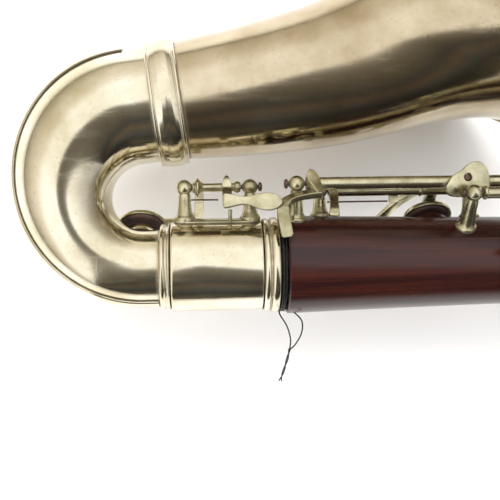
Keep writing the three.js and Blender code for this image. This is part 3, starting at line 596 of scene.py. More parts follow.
def build_bow():
    """The bent tube, and the chimney of the tone hole in its near side."""
    plate_piece("bow", sheet_tube(Shells(), bow_stations()), ["bow_tube"])
    rim, outer, bore = (BELL_VENT[name] for name in ("rim", "outer", "bore"))
    chimney = [(11, bore), (11, outer + 1.2), (14.2, outer + 0.2)]
    chimney += [(rim - 0.4, outer), (rim, outer - 0.3), (rim, bore)]
    shells = Shells().turned_out(rounded(chimney, 0.4), BELL_VENT["x"], BELL_VENT["elevation"], closed=True)
    plate_piece("bow_tone_hole", shells, ["bell_tone_hole"])


def build_guard():
    """The wear strip soldered along the outside of the bend."""
    stations = [(-SOCKET_LENGTH - 4.8, 0, 180, BOW_START_RADIUS)] + bow_stations()[1:-1]
    rings = []
    for s in stations:
        outer = station_ring(s, s[3] + 1.05, 10, 54)
        middle = station_ring(s, s[3] + 0.7, 1, 57)
        inner = station_ring(s, s[3] + 0.25, 10, 57)
        rings.append([middle[0], *outer, middle[1], *reversed(inner)])
    plate_piece("bow_guard_strip", Shells().loft(rings), ["bow_guard"], smooth=50)


def build_socket():
    """The drawn cup that takes the tenon, its collar on the bow, and the ring at its mouth."""
    end = -SOCKET_LENGTH
    inner = SOCKET_RADIUS - WALL
    hole = BOW_START_RADIUS + 0.3
    outside = [(end, hole), (end, 17.0), (end + 0.6, SOCKET_RADIUS), (-6.3, SOCKET_RADIUS), (-6.3, inner)]
    tube = rounded(outside, 0.4) + [(end + 1.5, inner), (end + 1.5, hole)]
    plate_piece("socket", Shells().turned_x(tube, 144, closed=True), ["socket_tube"])
    collar = [(-0.3, hole), (-0.3, 16.2), (-0.8, 16.8), (-1.5, 16.1), (-2.1, 16.0), (-2.9, 16.6)]
    collar += [(-3.8, 16.5), (-4.4, 15.7), (-4.5, hole)]
    ring_piece("socket_collar", shifted(end, collar), "bow_collar")
    ring = [(-5.9, inner), (-5.9, 17.6), (-5.4, 18.1), (-4.6, 18.3), (-3.9, 18.1), (-3.5, 17.5), (-3.2, 17.6)]
    ring += [(-2.8, 18.3), (-2.0, 18.65), (-1.0, 18.6), (-0.3, 18.4), (0, 17.9), (0, inner)]
    ring_piece("socket_mouth_ring", ring, "socket_ring", 0.3, 144)


# ---------------------------------------------------------------- posts, cups, pads, rods
def post_shells(shells, x, hinge, surface):
    """A turned post: low spreading foot, stout waisted stem and a ball drilled for the hinge rod."""
    elevation, top = HINGES[hinge]
    height = top - surface
    stem = [(-1.2, 4.0), (0.5, 4.0), (0.9, 3.75), (1.3, 3.3), (2.2, 2.9)]
    stem += [(0.36 * height, 2.6), (0.55 * height, 2.4), (height - BALL - 0.4, 2.35)]
    turns = [radians(t) for t in range(-48, 91, 6)]
    ball = [(top + BALL * sin(a), BALL * cos(a)) for a in turns]
    profile = [(surface - 1.2, 0)] + rounded(shifted(surface, stem), 0.5) + ball
    return shells.turned_out(profile, x, elevation, 56)


def post_pair(hinge, low, high, surface=None):
    """The two posts of a key, each on its own foot on the wood unless a surface is given."""
    for end, x in (("low", low), ("high", high)):
        name = f"{hinge}_post_{end}"
        key_piece(name + "_turned", post_shells(Shells(), x, hinge, surface or wood_radius(x)), [name])


def screw_head(shells, x, hinge, facing, radius=1.75):
    """A domed screw head; facing is +1 or -1 along the body."""
    profile = [(0, 0), (0, radius), (0.9, radius), (1.3, radius * 0.75), (1.45, 0.3)]
    return shells.turned(rounded(profile), hinge_point(hinge, x), (facing, 0, 0), 32)


def rod_piece(name, node, start, end, hinge):
    """A hinge rod, with its screw head at the start."""
    shells = Shells().rod(hinge_point(hinge, start), hinge_point(hinge, end), ROD_RADIUS, 16)
    screw_head(shells, start, hinge, 1 if start > end else -1)
    return steel_piece(name, shells, [node], bevel=0.08)


def hinge_tube(shells, start, end, hinge, radius):
    """The tube a key turns on, with a low collar at each end."""
    collar = [(0, 0), (0, radius + 0.35), (0.9, radius + 0.35), (1.1, radius)]
    profile = collar + [(end - start - along, size) for along, size in reversed(collar)]
    return shells.turned_x(rounded(profile, 0.2, 2), 40, centre=hinge_point(hinge, start))


def cup_shells(shells, x, elevation, face, radius):
    """A domed cup, hollow below; face is where its pad's face lies, from the body's axis."""
    profile = [(2.4, 0), (2.4, radius - 0.8), (0.9, radius - 0.8), (0.9, radius), (2.5, radius)]
    profile += [(3.0, radius - 0.7), (3.1, radius - 1.3), (3.6, radius - 2.4), (4.0, radius * 0.5), (4.2, 0)]
    return shells.turned_out(rounded(shifted(face, profile), 0.35), x, elevation, 72)


def cup_back(hole):
    """Where an arm meets the back of the cup over a hole in the wood."""
    x, elevation, _ = HOLES[hole]
    return around(x, elevation, SEAT_RIM + CUP_DEPTH)


def pad_piece(name, node, body, x, elevation, face, radius, matrix=Matrix()):
    """The leather pad inside a cup of the given radius."""
    edge = radius - 1.0
    profile = [(2.5, 0), (2.5, edge), (0.6, edge), (0.1, edge - 0.7), (0, edge - 1.6)]
    profile += [(0.15, edge * 0.4), (0.25, 0)]
    shells = Shells().turned_out(rounded(shifted(face, profile), 0.4), x, elevation)
    return piece(name, shells.moved(matrix), body, LEATHER, "pad_leather", [node])


def needle(name, node, start, end):
    return steel_piece(name, Shells().rod(start, end, 0.32, 12), [node])


# ---------------------------------------------------------------- bell key
def plate_ring(x, elevation, half, steps, surface, edge, top):
    """A section of a plate that is bent round the body: half its angle, the radius it lies on, and how
    far its edges and its top stand above that."""
    turns = [half * (2 * k / steps - 1) for k in range(steps + 1)]
    heights = [edge] + [top] * (steps - 1) + [edge]
    upper = [around(x, elevation + t, surface + height) for t, height in zip(turns, heights)]
    return upper + [around(x, elevation + t, surface + 0.05) for t in reversed(turns)]


def build_saddle():
    """The curved plate under the two bell-key posts, with rounded ends, and the stop pin beside them."""
    elevation = HINGES["bell"][0]
    start, length, count = -39.6, 33.0, 40
    rings = []
    for i in range(count + 1):
        share = i / count
        from_end = min(share, 1 - share) * length
        half = 13.5 * min(1.0, 0.45 + 0.55 * sqrt(min(1.0, from_end / 5.0)))
        rings.append(plate_ring(start + length * share, elevation, half, 12, SOCKET_RADIUS, 0.8, 1.2))
    shells = Shells().loft(rings)
    pin_x, pin_elevation = -18.2, elevation + 11.5
    pin_foot = around(pin_x, pin_elevation, SOCKET_RADIUS + 0.6)
    shells.rod(pin_foot, around(pin_x, pin_elevation, 22.8), 0.75, 20, 0.3)
    key_piece("bell_key_plate", shells, ["bell_key_saddle"], bevel=0.2)


def key_collar(shells, x, hinge, radius, half=2.0):
    """A sharp diamond-shaped collar on a hinge tube."""
    profile = [(-half, 0), (-half, 1.8), (-half + 0.5, 2.1), (-0.2, radius), (0.2, radius)]
    profile += [(half - 0.5, 2.1), (half, 1.8), (half, 0)]
    return shells.turned_x(rounded(profile, 0.15), 48, centre=hinge_point(hinge, x))


def build_bell_key():
    """The open key of the bow: its cup on a long arm, and the leaf that the link key's crook lifts."""
    hole_x, elevation, rim, cup = (BELL_VENT[name] for name in ("x", "elevation", "rim", "cup"))
    low, high = -35.5, -10.4
    c = hinge_point("bell")
    shells = hinge_tube(Shells(), -31.8, -14.1, "bell", 1.6)
    key_collar(shells, -30.4, "bell", 3.6)
    key_collar(shells, -15.2, "bell", 2.3, 1.2)
    arm = [(-30, c.y, c.z), (-30, 28.6, -4), (-30, 24, -11), (-31, 18.6, -16.6), (-37, 16, -18.6)]
    arm += [(-46, 15.6, -17.2), around(hole_x, elevation, rim + CUP_DEPTH)]
    shells.bar(arm, [1.7, 1.7, 1.8, 1.8, 2.0, 2.0, 2.6], [1.2, 1.2, 1.2, 1.1, 1.1, 1.0, 0.7], count=44)
    hub = [(-19.3, c.y + 3.9, c.z + 0.3), (-19.3, c.y + 2.2, c.z + 1.4), (-19.3, c.y - 0.4, c.z + 2.5)]
    hub += [(-19.3, 27.6, 9.2), (-19.4, 25.2, 12.0), (-19.5, 22.8, 12.8)]
    shells.bar(hub, [0.35, 1.5, 1.9, 1.8, 1.7, 1.3], [1.3, 1.3, 1.2, 1.0, 0.9, 0.7], None, 32, 0.2)
    leaf = [(-20.9, 25.2, 13.2), (-18.6, 25.2, 13.4), (-14.6, 25.2, 13.8), (-11.2, 25.2, 14.3)]
    leaf += [(-7.6, 25.0, 15.0), (-4.2, 24.8, 15.7), (-1.4, 24.7, 16.3), (0.6, 24.7, 16.7)]
    widths = [2.8, 2.6, 1.7, 1.7, 2.9, 3.4, 2.8, 1.2]
    shells.bar(leaf, widths, [0.9, 0.85, 0.75, 0.7, 0.65, 0.6, 0.55, 0.4], (0, 0.3, 1), 48, 0.3)
    face = rim + PAD_GAP
    cup_shells(shells, hole_x, elevation, face, cup)
    turn = swung("bell", BELL_VENT["open"])
    key_piece("low_bell_key", shells.moved(turn), ["bell_key"], "bell_key")
    pad_piece("low_bell_key_pad", "bell_key_pad", "bell_key", hole_x, elevation, face, cup, turn)
    post_pair("bell", low, high, SOCKET_RADIUS + 1.2)
    rod_piece("bell_key_screw", "bell_key_rod", high + SCREW_OUT, -38.2, "bell")
    needle("bell_key_needle", "bell_key_spring", (-33, 25.6, 3.2), (-22.6, 25.4, 4.4))


# ---------------------------------------------------------------- wooden joints and tenon
def wood_radius(x):
    share = max(0.0, (TAPER_END - x) / (TAPER_END - SHOULDER_X))
    return JOINT_RADIUS + (SHOULDER_RADIUS - JOINT_RADIUS) * share**1.3


def tone_hole(shells, x, elevation, rim, radius):
    """A raised seat round a tone hole; radius is where its top edge lies."""
    profile = [(-4.5, radius - 1.6), (-4.5, radius + 1.2), (-1.6, radius + 0.6), (-0.5, radius)]
    profile += [(0, radius - 0.5), (0, radius - 1.0), (-0.6, radius - 1.6)]
    return shells.turned_out(rounded(shifted(rim, profile)), x, elevation, closed=True)


def build_lower_joint():
    """The tenon, the shoulder that tapers away from it, and the stout top that takes the upper joint."""
    profile = [(-20, BORE), (-20, 15.0), (-19.6, 15.4), (SHOULDER_X, 15.4), (SHOULDER_X, 18.6)]
    profile.append((SHOULDER_X + 0.5, 19.05))
    profile += [(x, wood_radius(x)) for x in range(5, int(TAPER_END), 5)]
    profile.append((TAPER_END, JOINT_RADIUS))
    top = [(-31, JOINT_RADIUS), (-24, 18.6), (-20, 19.7), (-10, 20.0), (-4.3, 20.0), (-4.3, 15.0)]
    profile += shifted(LOWER_TOP, top + [(-24, 15.0), (-24, BORE)])
    shells = Shells().turned_x(profile, 160, closed=True)
    for x, elevation, cup in HOLES.values():
        tone_hole(shells, x, elevation, SEAT_RIM, cup - SEAT_WIDTH)
    for x, cup in FINGER_HOLES["right"]:
        tone_hole(shells, x, 0, SEAT_RIM, cup - SEAT_WIDTH)
    piece("lower_joint_wood", shells, "body", WOOD, "rosewood", ["lower_joint"], smooth=30)
    ring = [(-4, 15.2), (-4, 20.5), (-3.3, 21), (-0.9, 21), (-0.3, 20.5), (-0.3, 15.2)]
    ring_piece("lower_joint_top_ring", shifted(LOWER_TOP, ring), "lower_joint_ring")


def build_thread():
    """Wound thread over the tenon, bunched at the socket, and two loose ends twisted together."""
    start = -17
    profile = [(start, 15.5)]
    turns = 26
    for i in range(turns):
        x = start + 17.4 * i / turns
        profile += [(x, 15.85), (x + 0.33, 16.15)]
    bunch = 7
    for i in range(bunch):
        x = 0.35 + 2.4 * i / bunch
        swell = 17.3 + 0.9 * sin(pi * (i + 0.7) / bunch)
        profile += [(x, swell - 0.35), (x + 0.17, swell)]
    profile += [(2.75, 17.0), (2.75, 15.5)]
    shells = Shells().turned_x(profile, 128, closed=True)
    for _ in range(9):
        phase = 2 * pi * random.random()
        lift = 17.7 + 0.5 * random.random()
        loop = []
        for i in range(97):
            t = 2 * pi * i / 96
            x = 1.5 + 0.8 * sin(t + phase) + 0.2 * sin(3 * t + phase)
            loop.append((x, lift * cos(t), lift * sin(t)))
        strand(shells, loop, 0.24)
    short_end = [(0.4, -17.6, 1), (0.6, -19.5, 1.5), (3.2, -24, 2), (4.6, -29, 1), (4.4, -33, 0)]
    long_end = [(2.2, -16.9, 3), (5.6, -18.4, 3.5), (8.9, -22, 3), (8.8, -27, 2), (6.2, -31.6, 1)]
    strand(shells, short_end, 0.28)
    strand(shells, long_end + [(4.2, -33.4, 0)], 0.28)
    for phase in (0, pi):
        twist = []
        for i in range(15):
            share = i / 14
            turn = phase + 9 * share
            wide = 0.3 + 0.25 * max(0.0, share - 0.8) * 5
            x = 4.3 - 4 * share**1.2 + wide * cos(turn)
            twist.append((x, -33 - 12.6 * share, -wide * sin(turn)))
        strand(shells, twist, 0.26)
    piece("wound_thread", shells, "body", THREAD, "thread", ["tenon_thread"], smooth=60)


def strand(shells, points, radius, sides=7):
    path = spline(points, 6 * (len(points) - 1))
    rings = []
    for i, here in enumerate(path):
        along = (path[min(i + 1, len(path) - 1)] - path[max(i - 1, 0)]).normalized()
        u = along.cross(Vector((0.1, 0.2, 1))).normalized()
        v = along.cross(u)
        rings.append([here + (u * cos(t) + v * sin(t)) * radius for t in full_turn(sides)])
    return shells.loft(rings)


# ---------------------------------------------------------------- lower joint keys
def touch_shells(shells, x, elevation, distance, half_length, half_width, thickness=1.6):
    """An oval finger touch, slightly domed, whose top faces away from the body."""
    out = around(0, elevation, 1)
    side = Vector((1, 0, 0)).cross(out)
    rings = []
    for share, height in ((0.9, -0.5), (1.0, -0.2), (1.0, 0.15), (0.93, 0.42), (0.6, 0.55), (0.05, 0.62)):
        centre = Vector((x, 0, 0)) + out * (distance + height * thickness)
        long_way = Vector((half_length * share, 0, 0))
        short_way = side * half_width * share
        rings.append([centre + long_way * cos(t) + short_way * sin(t) for t in full_turn(40)])
    return shells.loft(rings)


def lug_plate(shells, centre, half_x, half_y, thickness, hole):
    """A shouldered plate lying across the tube, with a round hole through it."""
    corners = [(-1.0, -0.35), (-0.72, 0.18), (-0.28, 0.52), (0.08, 0.88), (0.42, 1.0), (0.74, 0.86)]
    corners += [(0.95, 0.42), (1.0, -0.2), (0.94, -0.78), (0.62, -1.0), (-0.2, -0.96), (-0.85, -0.85)]
    outline = [(half_x * p[0], half_y * p[1]) for p in spline(corners + corners[:1], 60)[:-1]]
    middle = (0.0, 0.12 * half_y)
    turns = [atan2(y - middle[1], x - middle[0]) for x, y in outline]
    inside = [(hole * cos(t) + middle[0], hole * sin(t) + middle[1]) for t in turns]

    def ring(points, share, height):
        return [centre + Vector((x * share, y * share, height - 0.010 * y * y)) for x, y in points]

    half = thickness / 2
    rings = [ring(inside, 1, -half), ring(outline, 0.97, -half), ring(outline, 1, -half + 0.3)]
    rings += [ring(outline, 1, half - 0.45), ring(outline, 0.975, half - 0.12), ring(outline, 0.93, half)]
    rings += [ring(inside, 1.12, half), ring(inside, 1, half - 0.2)]
    return shells.loft(rings, closed=True)


def build_link_key():
    """A long tube with a crook at one end, a screwed lug half way and a side touch at the other end."""
    c = hinge_point("link")
    low, high = 6.8, 150.0
    shells = hinge_tube(Shells(), 10.4, 146.6, "link", 2.35)
    hub = [(11.7, c.y + 4.7, c.z + 0.2), (12.1, c.y + 3.0, c.z + 1.2), (12.8, c.y + 0.6, c.z + 2.4)]
    hub += [(14.2, 28.4, 14.9), (15.3, 26.6, 15.2)]
    shells.bar(hub, [0.35, 1.9, 2.5, 2.1, 1.9], [1.6, 1.5, 1.3, 1.2, 1.1], None, 30, 0.25)
    crook = [(15.9, 26.6, 15.1), (12.6, 26.4, 15.2), (7.4, 25.6, 15.1), (3.6, 24.2, 14.7), (1.5, 22.0, 14.9)]
    crook += [(1.2, 18.8, 16.2), (1.6, 14.6, 18.3), (2.3, 10.6, 20.0)]
    depths = [1.2, 1.2, 1.1, 1.1, 1.1, 1.1, 1.1, 0.5]
    shells.bar(crook, [1.7, 1.9, 1.9, 2.1, 2.3, 2.3, 2.3, 2.2], depths, None, 64, 0.3)
    lever_x = 136
    shells.bar([(lever_x, c.y, c.z), (lever_x, 29.8, 6), (lever_x, 27.3, -1.5)], 2, 1.1)
    lug = Vector((71.4, 30.9, c.z + 3.0))
    lug_plate(shells, lug, 8.4, 6.9, 1.5, 1.5)
    touch_shells(shells, lever_x + 4, -7, 27.4, 12, 5)
    key_piece("low_link_key", shells, ["link_key"], "link_key")
    screw = [(0, 0), (0, 1.35), (1.0, 1.35), (1.25, 0.9), (1.3, 0.1)]
    steel = Shells().turned(rounded(screw, 0.25), lug + Vector((0.0, 0.8, -0.7)), (0, 0, 1), 28)
    steel_piece("lug_screw", steel, [], "link_key")
    post_pair("link", low, high)
    rod_piece("link_screw", "link_key_rod", low - SCREW_OUT, high + 3, "link")


def build_vent_key():
    """Two cups on one key: one on a stub beside the hinge tube and one that the crescent arm carries."""
    c = hinge_point("vent")
    low, high = 17.4, 77.2
    shells = hinge_tube(Shells(), low + BALL + 0.6, high - BALL - 0.6, "vent", 2.25)
    crescent = [(56.6, c.y, c.z), (55.6, 27.4, -6.4), (51.8, 24.4, -12.8), (46.4, 19, -18.4)]
    crescent.append(cup_back("vent_low"))
    shells.bar(crescent, [2.3, 2.0, 1.7, 1.8, 2.4], [1.3, 1.2, 1.1, 1.1, 0.7], count=36)
    key_collar(shells, 57.6, "vent", 2.75, 1.4)
    stub_x = HOLES["vent_high"][0]
    stub = [(stub_x, c.y, c.z), (stub_x, 26.4, -6.4), cup_back("vent_high")]
    shells.bar(stub, [2.2, 2.2, 3.0], [1.3, 1.2, 0.8])
    lever = [(22.4, c.y, c.z), (22.2, 26, 4), (21.6, 21.6, 8.6), (21.0, 18.4, 11.2)]
    shells.bar(lever, [1.8, 1.7, 1.7, 2.2], [1.2, 1.1, 1.1, 0.5], corner=0.25)
    spring_block = [(47.4 + a, 25.6 + b) for a, b in section(1.7, 1.7, 0.4)]
    shells.loft([[(a, b, z) for a, b in spring_block] for z in (-4.3, -2.1)])
    for end in ("low", "high"):
        x, elevation, cup = HOLES[f"vent_{end}"]
        face = SEAT_RIM + PAD_GAP
        cup_shells(shells, x, elevation, face, cup)
        pad_piece(f"vent_{end}_leather", f"vent_pad_{end}", "vent_key", x, elevation, face, cup)
    key_piece("side_vent_key", shells, ["vent_key"], "vent_key")
    post_pair("vent", low, high)
    rod_piece("vent_screw", "vent_key_rod", high + SCREW_OUT, low - 3, "vent")
    needle("vent_key_needle", "vent_key_spring", (20.8, 24.4, -3.6), (45.2, 24.4, -3.8))


def build_crossover_key():
    """A touch on top of the body, and an arch that passes over the link tube to a cup far below it."""
    x, elevation, cup = HOLES["crossover"]
    c = hinge_point("crossover")
    low, high, arch_x = 71.6, 128.0, 116.0
    shells = hinge_tube(Shells(), low + BALL + 0.4, high - BALL - 0.4, "crossover", 2.2)
    arch = [(c.y - 1, c.z + 1.6), (30, 22.8), (34.4, 19.6), (37.4, 14.4), (38.6, 8), (38, 0), (35, -8)]
    arch = [(arch_x, y, z) for y, z in arch + [(29.5, -15)]] + [(arch_x - 1, 23.5, -18.5)]
    shells.bar(arch, [1.6, 2.4, 2.4, 2.2, 2.0, 2.0, 1.9, 1.8, 1.8], 1.1, count=64)
    reach = [(arch_x - 1, 24.5, -18), (arch_x - 4, 20, -18.6), cup_back("crossover")]
    shells.bar(reach, [1.8, 2, 2.6], [1.3, 1.2, 0.7])
    lever_x = 93
    shells.bar([(lever_x, c.y, c.z), (lever_x, 17.4, 24), (lever_x, 9, 25.6)], 2, 1.1)
    touch_shells(shells, lever_x + 3, 76, 26.8, 12, 5)
    face = SEAT_RIM + PAD_GAP
    cup_shells(shells, x, elevation, face, cup)
    key_piece("crossover_key_arched", shells, ["crossover_key"], "crossover_key")
    pad_piece("crossover_key_pad", "crossover_pad", "crossover_key", x, elevation, face, cup)
    post_pair("crossover", low, high)
    rod_piece("crossover_screw", "crossover_rod", low - SCREW_OUT, high + 3, "crossover")


def build_hand(hand, posts):
    """Three open finger plates on one hinge line, whose posts stand on a common rib."""
    elevation = HINGES["plateau"][0]
    start, end = posts[0] - 5, posts[3] + 5
    rings = []
    for x, share in ((start, 0.7), (start + 0.8, 1), (end - 0.8, 1), (end, 0.7)):
        rings.append(plate_ring(x, elevation, 9 * share, 10, JOINT_RADIUS, 1.0, 1.4))
    stand = Shells().loft(rings)
    for x in posts:
        post_shells(stand, x, "plateau", JOINT_RADIUS + 1.3)
    key_piece(f"{hand}_hand_stand", stand, [f"{hand}_hand_rib"])
    rod_piece(f"{hand}_hand_screw", f"{hand}_hand_rod", posts[0] - SCREW_OUT, posts[3] + 3, "plateau")
    c = hinge_point("plateau")
    face = SEAT_RIM + 0.15
    back = face + CUP_DEPTH
    turn = swung("plateau", degrees(PAD_LIFT / c.z))
    for i, finger in enumerate(FINGERS):
        x, cup = FINGER_HOLES[hand][i]
        body = f"{hand}_{finger}_key"
        shells = hinge_tube(Shells(), posts[i] + BALL + 0.3, posts[i + 1] - BALL - 0.3, "plateau", 2.1)
        arm = [(x, c.y, c.z), (x, 24.2, 15), (x, back + 0.3, 7), (x, back + 0.1, 0), (x, back, -5.5)]
        shells.bar(arm, [2.4, 2.1, 2.0, 2.6, 1.2], [1.2, 1.1, 1.0, 0.8, 0.5])
        cup_shells(shells, x, 0, face, cup)
        key_piece(f"{body}_plate", shells.moved(turn), [body], body)
        pad_piece(f"{body}_pad", f"{hand}_{finger}_pad", body, x, 0, face, cup, turn)


def build_thumb_rest():
    """A hook on a plate that four screws hold to the back of the lower joint."""
    x, back = 290, -JOINT_RADIUS - 0.2
    plate = []
    for y, grow in ((back + 0.6, 0), (back - 1.3, 0), (back - 1.8, -0.35), (back - 2.0, -0.7)):
        plate.append([(x + a, y, b) for a, b in section(13 + grow, 6.5 + grow, 2.0)])
    shells = Shells().loft(plate)
    hook = [(x + 10, back - 1, 0), (x + 10.9, back - 5, 0), (x + 10.5, back - 10, 0), (x + 7, back - 14.6, 0)]
    shells.bar(hook, [6, 6, 6, 4.8], 1.1, (1, 0, 0), 30)
    key_piece("thumb_hook", shells, ["thumb_rest"])
    screw = [(0, 0), (0, 1.8), (0.5, 1.8), (0.9, 1.1), (0.95, 0.1)]
    for row, screw_x in (("a", x - 10.5), ("b", x - 2)):
        heads = Shells()
        for z in (4, -4):
            heads.turned(screw, (screw_x, back - 1.9, z), (0, -1, 0), 32)
        steel_piece(f"thumb_hook_screws_{row}", heads, [])


# ---------------------------------------------------------------- upper joint and register key
def build_upper_joint():
    """The tenon into the lower joint, the straight wood, and the stout top that takes the neck."""
    foot = [(-23, BORE), (-23, 14.3), (-22.6, 14.6), (0.2, 14.6), (0.2, 17.8), (0.6, 18.2), (8, 17.7)]
    top = [(-50, JOINT_RADIUS), (-42, 17.7), (-34, 18.4), (-20, 18.7), (-4.3, 18.8), (-4.3, 13.4)]
    profile = shifted(LOWER_TOP, foot + [(18, 17.35), (30, JOINT_RADIUS)])
    profile += shifted(UPPER_TOP, top + [(-22, 13.4), (-22, BORE)])
    shells = Shells().turned_x(profile, 160, closed=True)
    for x, cup in FINGER_HOLES["left"]:
        tone_hole(shells, x, 0, SEAT_RIM, cup - SEAT_WIDTH)
    tone_hole(shells, REGISTER["pad"], 180, REGISTER["rim"], 4)
    piece("upper_joint_wood", shells, "body", WOOD, "rosewood", ["upper_joint"], smooth=30)
    ring = [(-4, 13.6), (-4, 19.3), (-3.3, 19.8), (-0.8, 19.8), (0, 19.3), (0, 13.6)]
    ring_piece("upper_joint_top_ring", shifted(UPPER_TOP, ring), "upper_joint_ring")


def build_register_key():
    """A see-saw lever on the back of the upper joint, between the two cheeks of its saddle."""
    x, y, rim = REGISTER["pivot"], -REGISTER["distance"], REGISTER["rim"]
    surface = -JOINT_RADIUS - 0.2
    saddle = Shells()
    plate = []
    for depth, grow in ((0.6, 0), (-1.2, 0), (-1.6, -0.4)):
        plate.append([(x + a, surface + depth, b) for a, b in section(8 + grow, 6 + grow, 1.5)])
    saddle.loft(plate)
    for z in (5, -5):
        saddle.turned(rounded([(-0.8, 0), (-0.8, 2.9), (0.8, 2.9), (0.8, 0)]), (x, y, z), (0, 0, 1), 40)
        cheek = section(2.9, 0.8, 0.3)
        saddle.loft([[(x + a, surface - 1 - height, z + b) for a, b in cheek] for height in (0, 5.6)])
    key_piece("register_stand", saddle, ["register_saddle"])
    steel_piece("register_pin", Shells().rod((x, y, -6.3), (x, y, 6.3), ROD_RADIUS, 24), [])
    shells = Shells().rod((x, y, -3.8), (x, y, 3.8), 2.2, 32, 0.3)
    touch_x, pad_x = REGISTER["touch"], REGISTER["pad"]
    lever = [(touch_x, -24.5, 0), (touch_x + 16, -25.5, 0), (x, y - 0.8, 0), (pad_x - 12, -25, 0)]
    shells.bar(lever + [(pad_x, -rim - 3.5, 0)], [3, 2.2, 2.2, 1.8, 2.2], 1, count=40)
    touch_shells(shells, touch_x, 180, 24.7, 9, 6)
    cup = [(2.3, 0), (2.3, 4.7), (0.8, 4.7), (0.8, 5.6), (2.6, 5.6), (3.3, 4.2), (3.7, 0)]
    shells.turned_out(rounded(shifted(rim, cup)), pad_x, 180, 48)
    key_piece("register_lever", shells, ["register_key"], "register_key")
    pad_piece("register_key_pad", "register_pad", "register_key", pad_x, 180, rim + PAD_GAP, 5.4)


# ---------------------------------------------------------------- neck and mouthpiece
def neck_stations(steps=48):
    """A straight end in the upper joint, then a bend back toward the player that narrows as it goes."""
    root, tip, bend, turn = 12.3, 11.4, 38.0, 105.0
    start = UPPER_TOP + 26
    stations = [(UPPER_TOP - 20, 0, 0, root), (start, 0, 0, root)]
    for i in range(1, steps + 1):
        share = i / steps
        angle = radians(turn * share)
        place = (start + bend * sin(angle), -bend * (1 - cos(angle)))
        stations.append((*place, -turn * share, root + (tip - root) * share))
    return stations


def build_neck():
    """The bent tube, its wide end for the mouthpiece, and the cuff that rests on the upper joint."""
    bend_end = neck_stations()[-1]
    arm = [(-22, 11.4), (-21.6, 12.2), (-20.6, 13.6), (-19.6, 13.8), (-3, 13.9), (-2.4, 14.5), (-0.6, 14.5)]
    wide_end = [onward(bend_end, along, radius) for along, radius in shifted(NECK_ARM, arm + [(0, 14.0)])]
    shells = sheet_tube(Shells(), neck_stations() + wide_end, 96)
    cuff = [(0, 12), (0, 15.2), (1, 15.7), (4.6, 15.7), (6, 14.6), (9, 14.0), (12, 13.2), (12, 12)]
    shells.turned_x(rounded(shifted(UPPER_TOP + 0.3, cuff), 0.5), 96, closed=True)
    plate_piece("neck", shells, ["neck_tube"], "neck")


def mouthpiece_frame():
    """The place and turn of the mouthpiece, drawn along its own axis from the end of the neck."""
    x, y, heading, _ = onward(neck_stations()[-1], NECK_ARM + 0.3)
    return Matrix.Translation((x, y, 0)) @ Matrix.Rotation(radians(heading), 4, "Z")


def cut_away(obj, shells):
    """Takes a closed shell out of a finished object."""
    cutter = add_object("cutter", mesh_of("cutter", shells))
    modifier = obj.modifiers.new("cut", "BOOLEAN")
    modifier.operation = "DIFFERENCE"
    modifier.solver = "EXACT"
    modifier.object = cutter
    result = obj.evaluated_get(bpy.context.evaluated_depsgraph_get())
    cut = bpy.data.meshes.new_from_object(result)
    obj.modifiers.remove(modifier)
    obj.data = cut
    bpy.data.objects.remove(cutter)
    cut.set_sharp_from_angle(angle=radians(30))


def slab(polygon, matrix, half=20.0):
    """A prism across the mouthpiece, cut to a polygon of (along, out) pairs."""
    rings = [[(x, y, z) for x, y in polygon] for z in (-half, half)]
    return Shells().loft(rings).moved(matrix)


def build_mouthpiece():
    """The ebonite beak, cut from a turned blank, with the reed on its table and the ligature round both."""
    matrix = mouthpiece_frame()
    tenon, length, table, beak = 18.0, 80.0, 9.6, 40.0
    end = length + 1
    blank = [(-tenon, 0), (-tenon, 12.4), (0, 12.4), (0, 14.2), (0.6, 14.6), (4, 14.6), (5, 14.3)]
    blank += [(beak, 13.2), (length, 11.4), (length, 0)]
    shells = Shells().turned_x(rounded(blank, 0.5)).moved(matrix)
    obj = piece("mouthpiece_beaked", shells, "mouthpiece", EBONITE, "ebonite", ["mouthpiece"], smooth=30)
    slope = [(beak, 13.4), (beak + 12, 8.4), (beak + 26, 0.6), (length - 6, -4.6), (end, -table + 1.7)]
    cut_away(obj, slab(slope + [(end, 20), (beak, 20)], matrix))
    cut_away(obj, slab([(12, -table), (12, -20), (end, -20), (end, -table)], matrix))
    cut_away(obj, Shells().rod((-tenon - 1, 0, 0), (44, 0, 0), 7.4, 48).moved(matrix))
    window = [(42, -table - 4), (76, -table - 4), (76, -table + 3), (60, -3), (42, -1)]
    cut_away(obj, slab(window, matrix, 5.6))
    reed = [(14, -table - 2.1, 0), (44, -table - 2.0, 0), (60, -table - 1.3, 0), (78.4, -table - 0.6, 0)]
    strip = Shells().bar(reed, [6, 6.5, 6.9, 7.2], [1.7, 1.7, 1.1, 0.3], (0, 1, 0), 30, 0.9)
    piece("reed_blade", strip.moved(matrix), "mouthpiece", CANE, "cane", ["reed"])
    band = [(16, 15.2), (16, 15.9), (16.8, 16.3), (20, 16.0), (26, 16.3), (32, 16.0), (35.2, 16.3)]
    clamp = Shells().turned_x(rounded(band + [(36, 15.9), (36, 15.2)], 0.4), 128, closed=True)
    knob = rounded([(0, 0), (0, 1.3), (3.2, 1.3), (3.2, 2.7), (4, 3.0), (8.4, 3.0), (9.2, 2.7), (9.2, 0)])
    barrel = rounded([(0, 0), (0, 2.3), (15, 2.3), (15, 0)], 0.4)
    for x in (20, 32):
        clamp.turned(knob, (x, -15.6, 0), (0, -1, 0), 24)
        clamp.turned(barrel, (x, -17.4, -7.5), (0, 0, 1), 24)
    plate_piece("ligature_band", clamp.moved(matrix), ["ligature"], "mouthpiece")


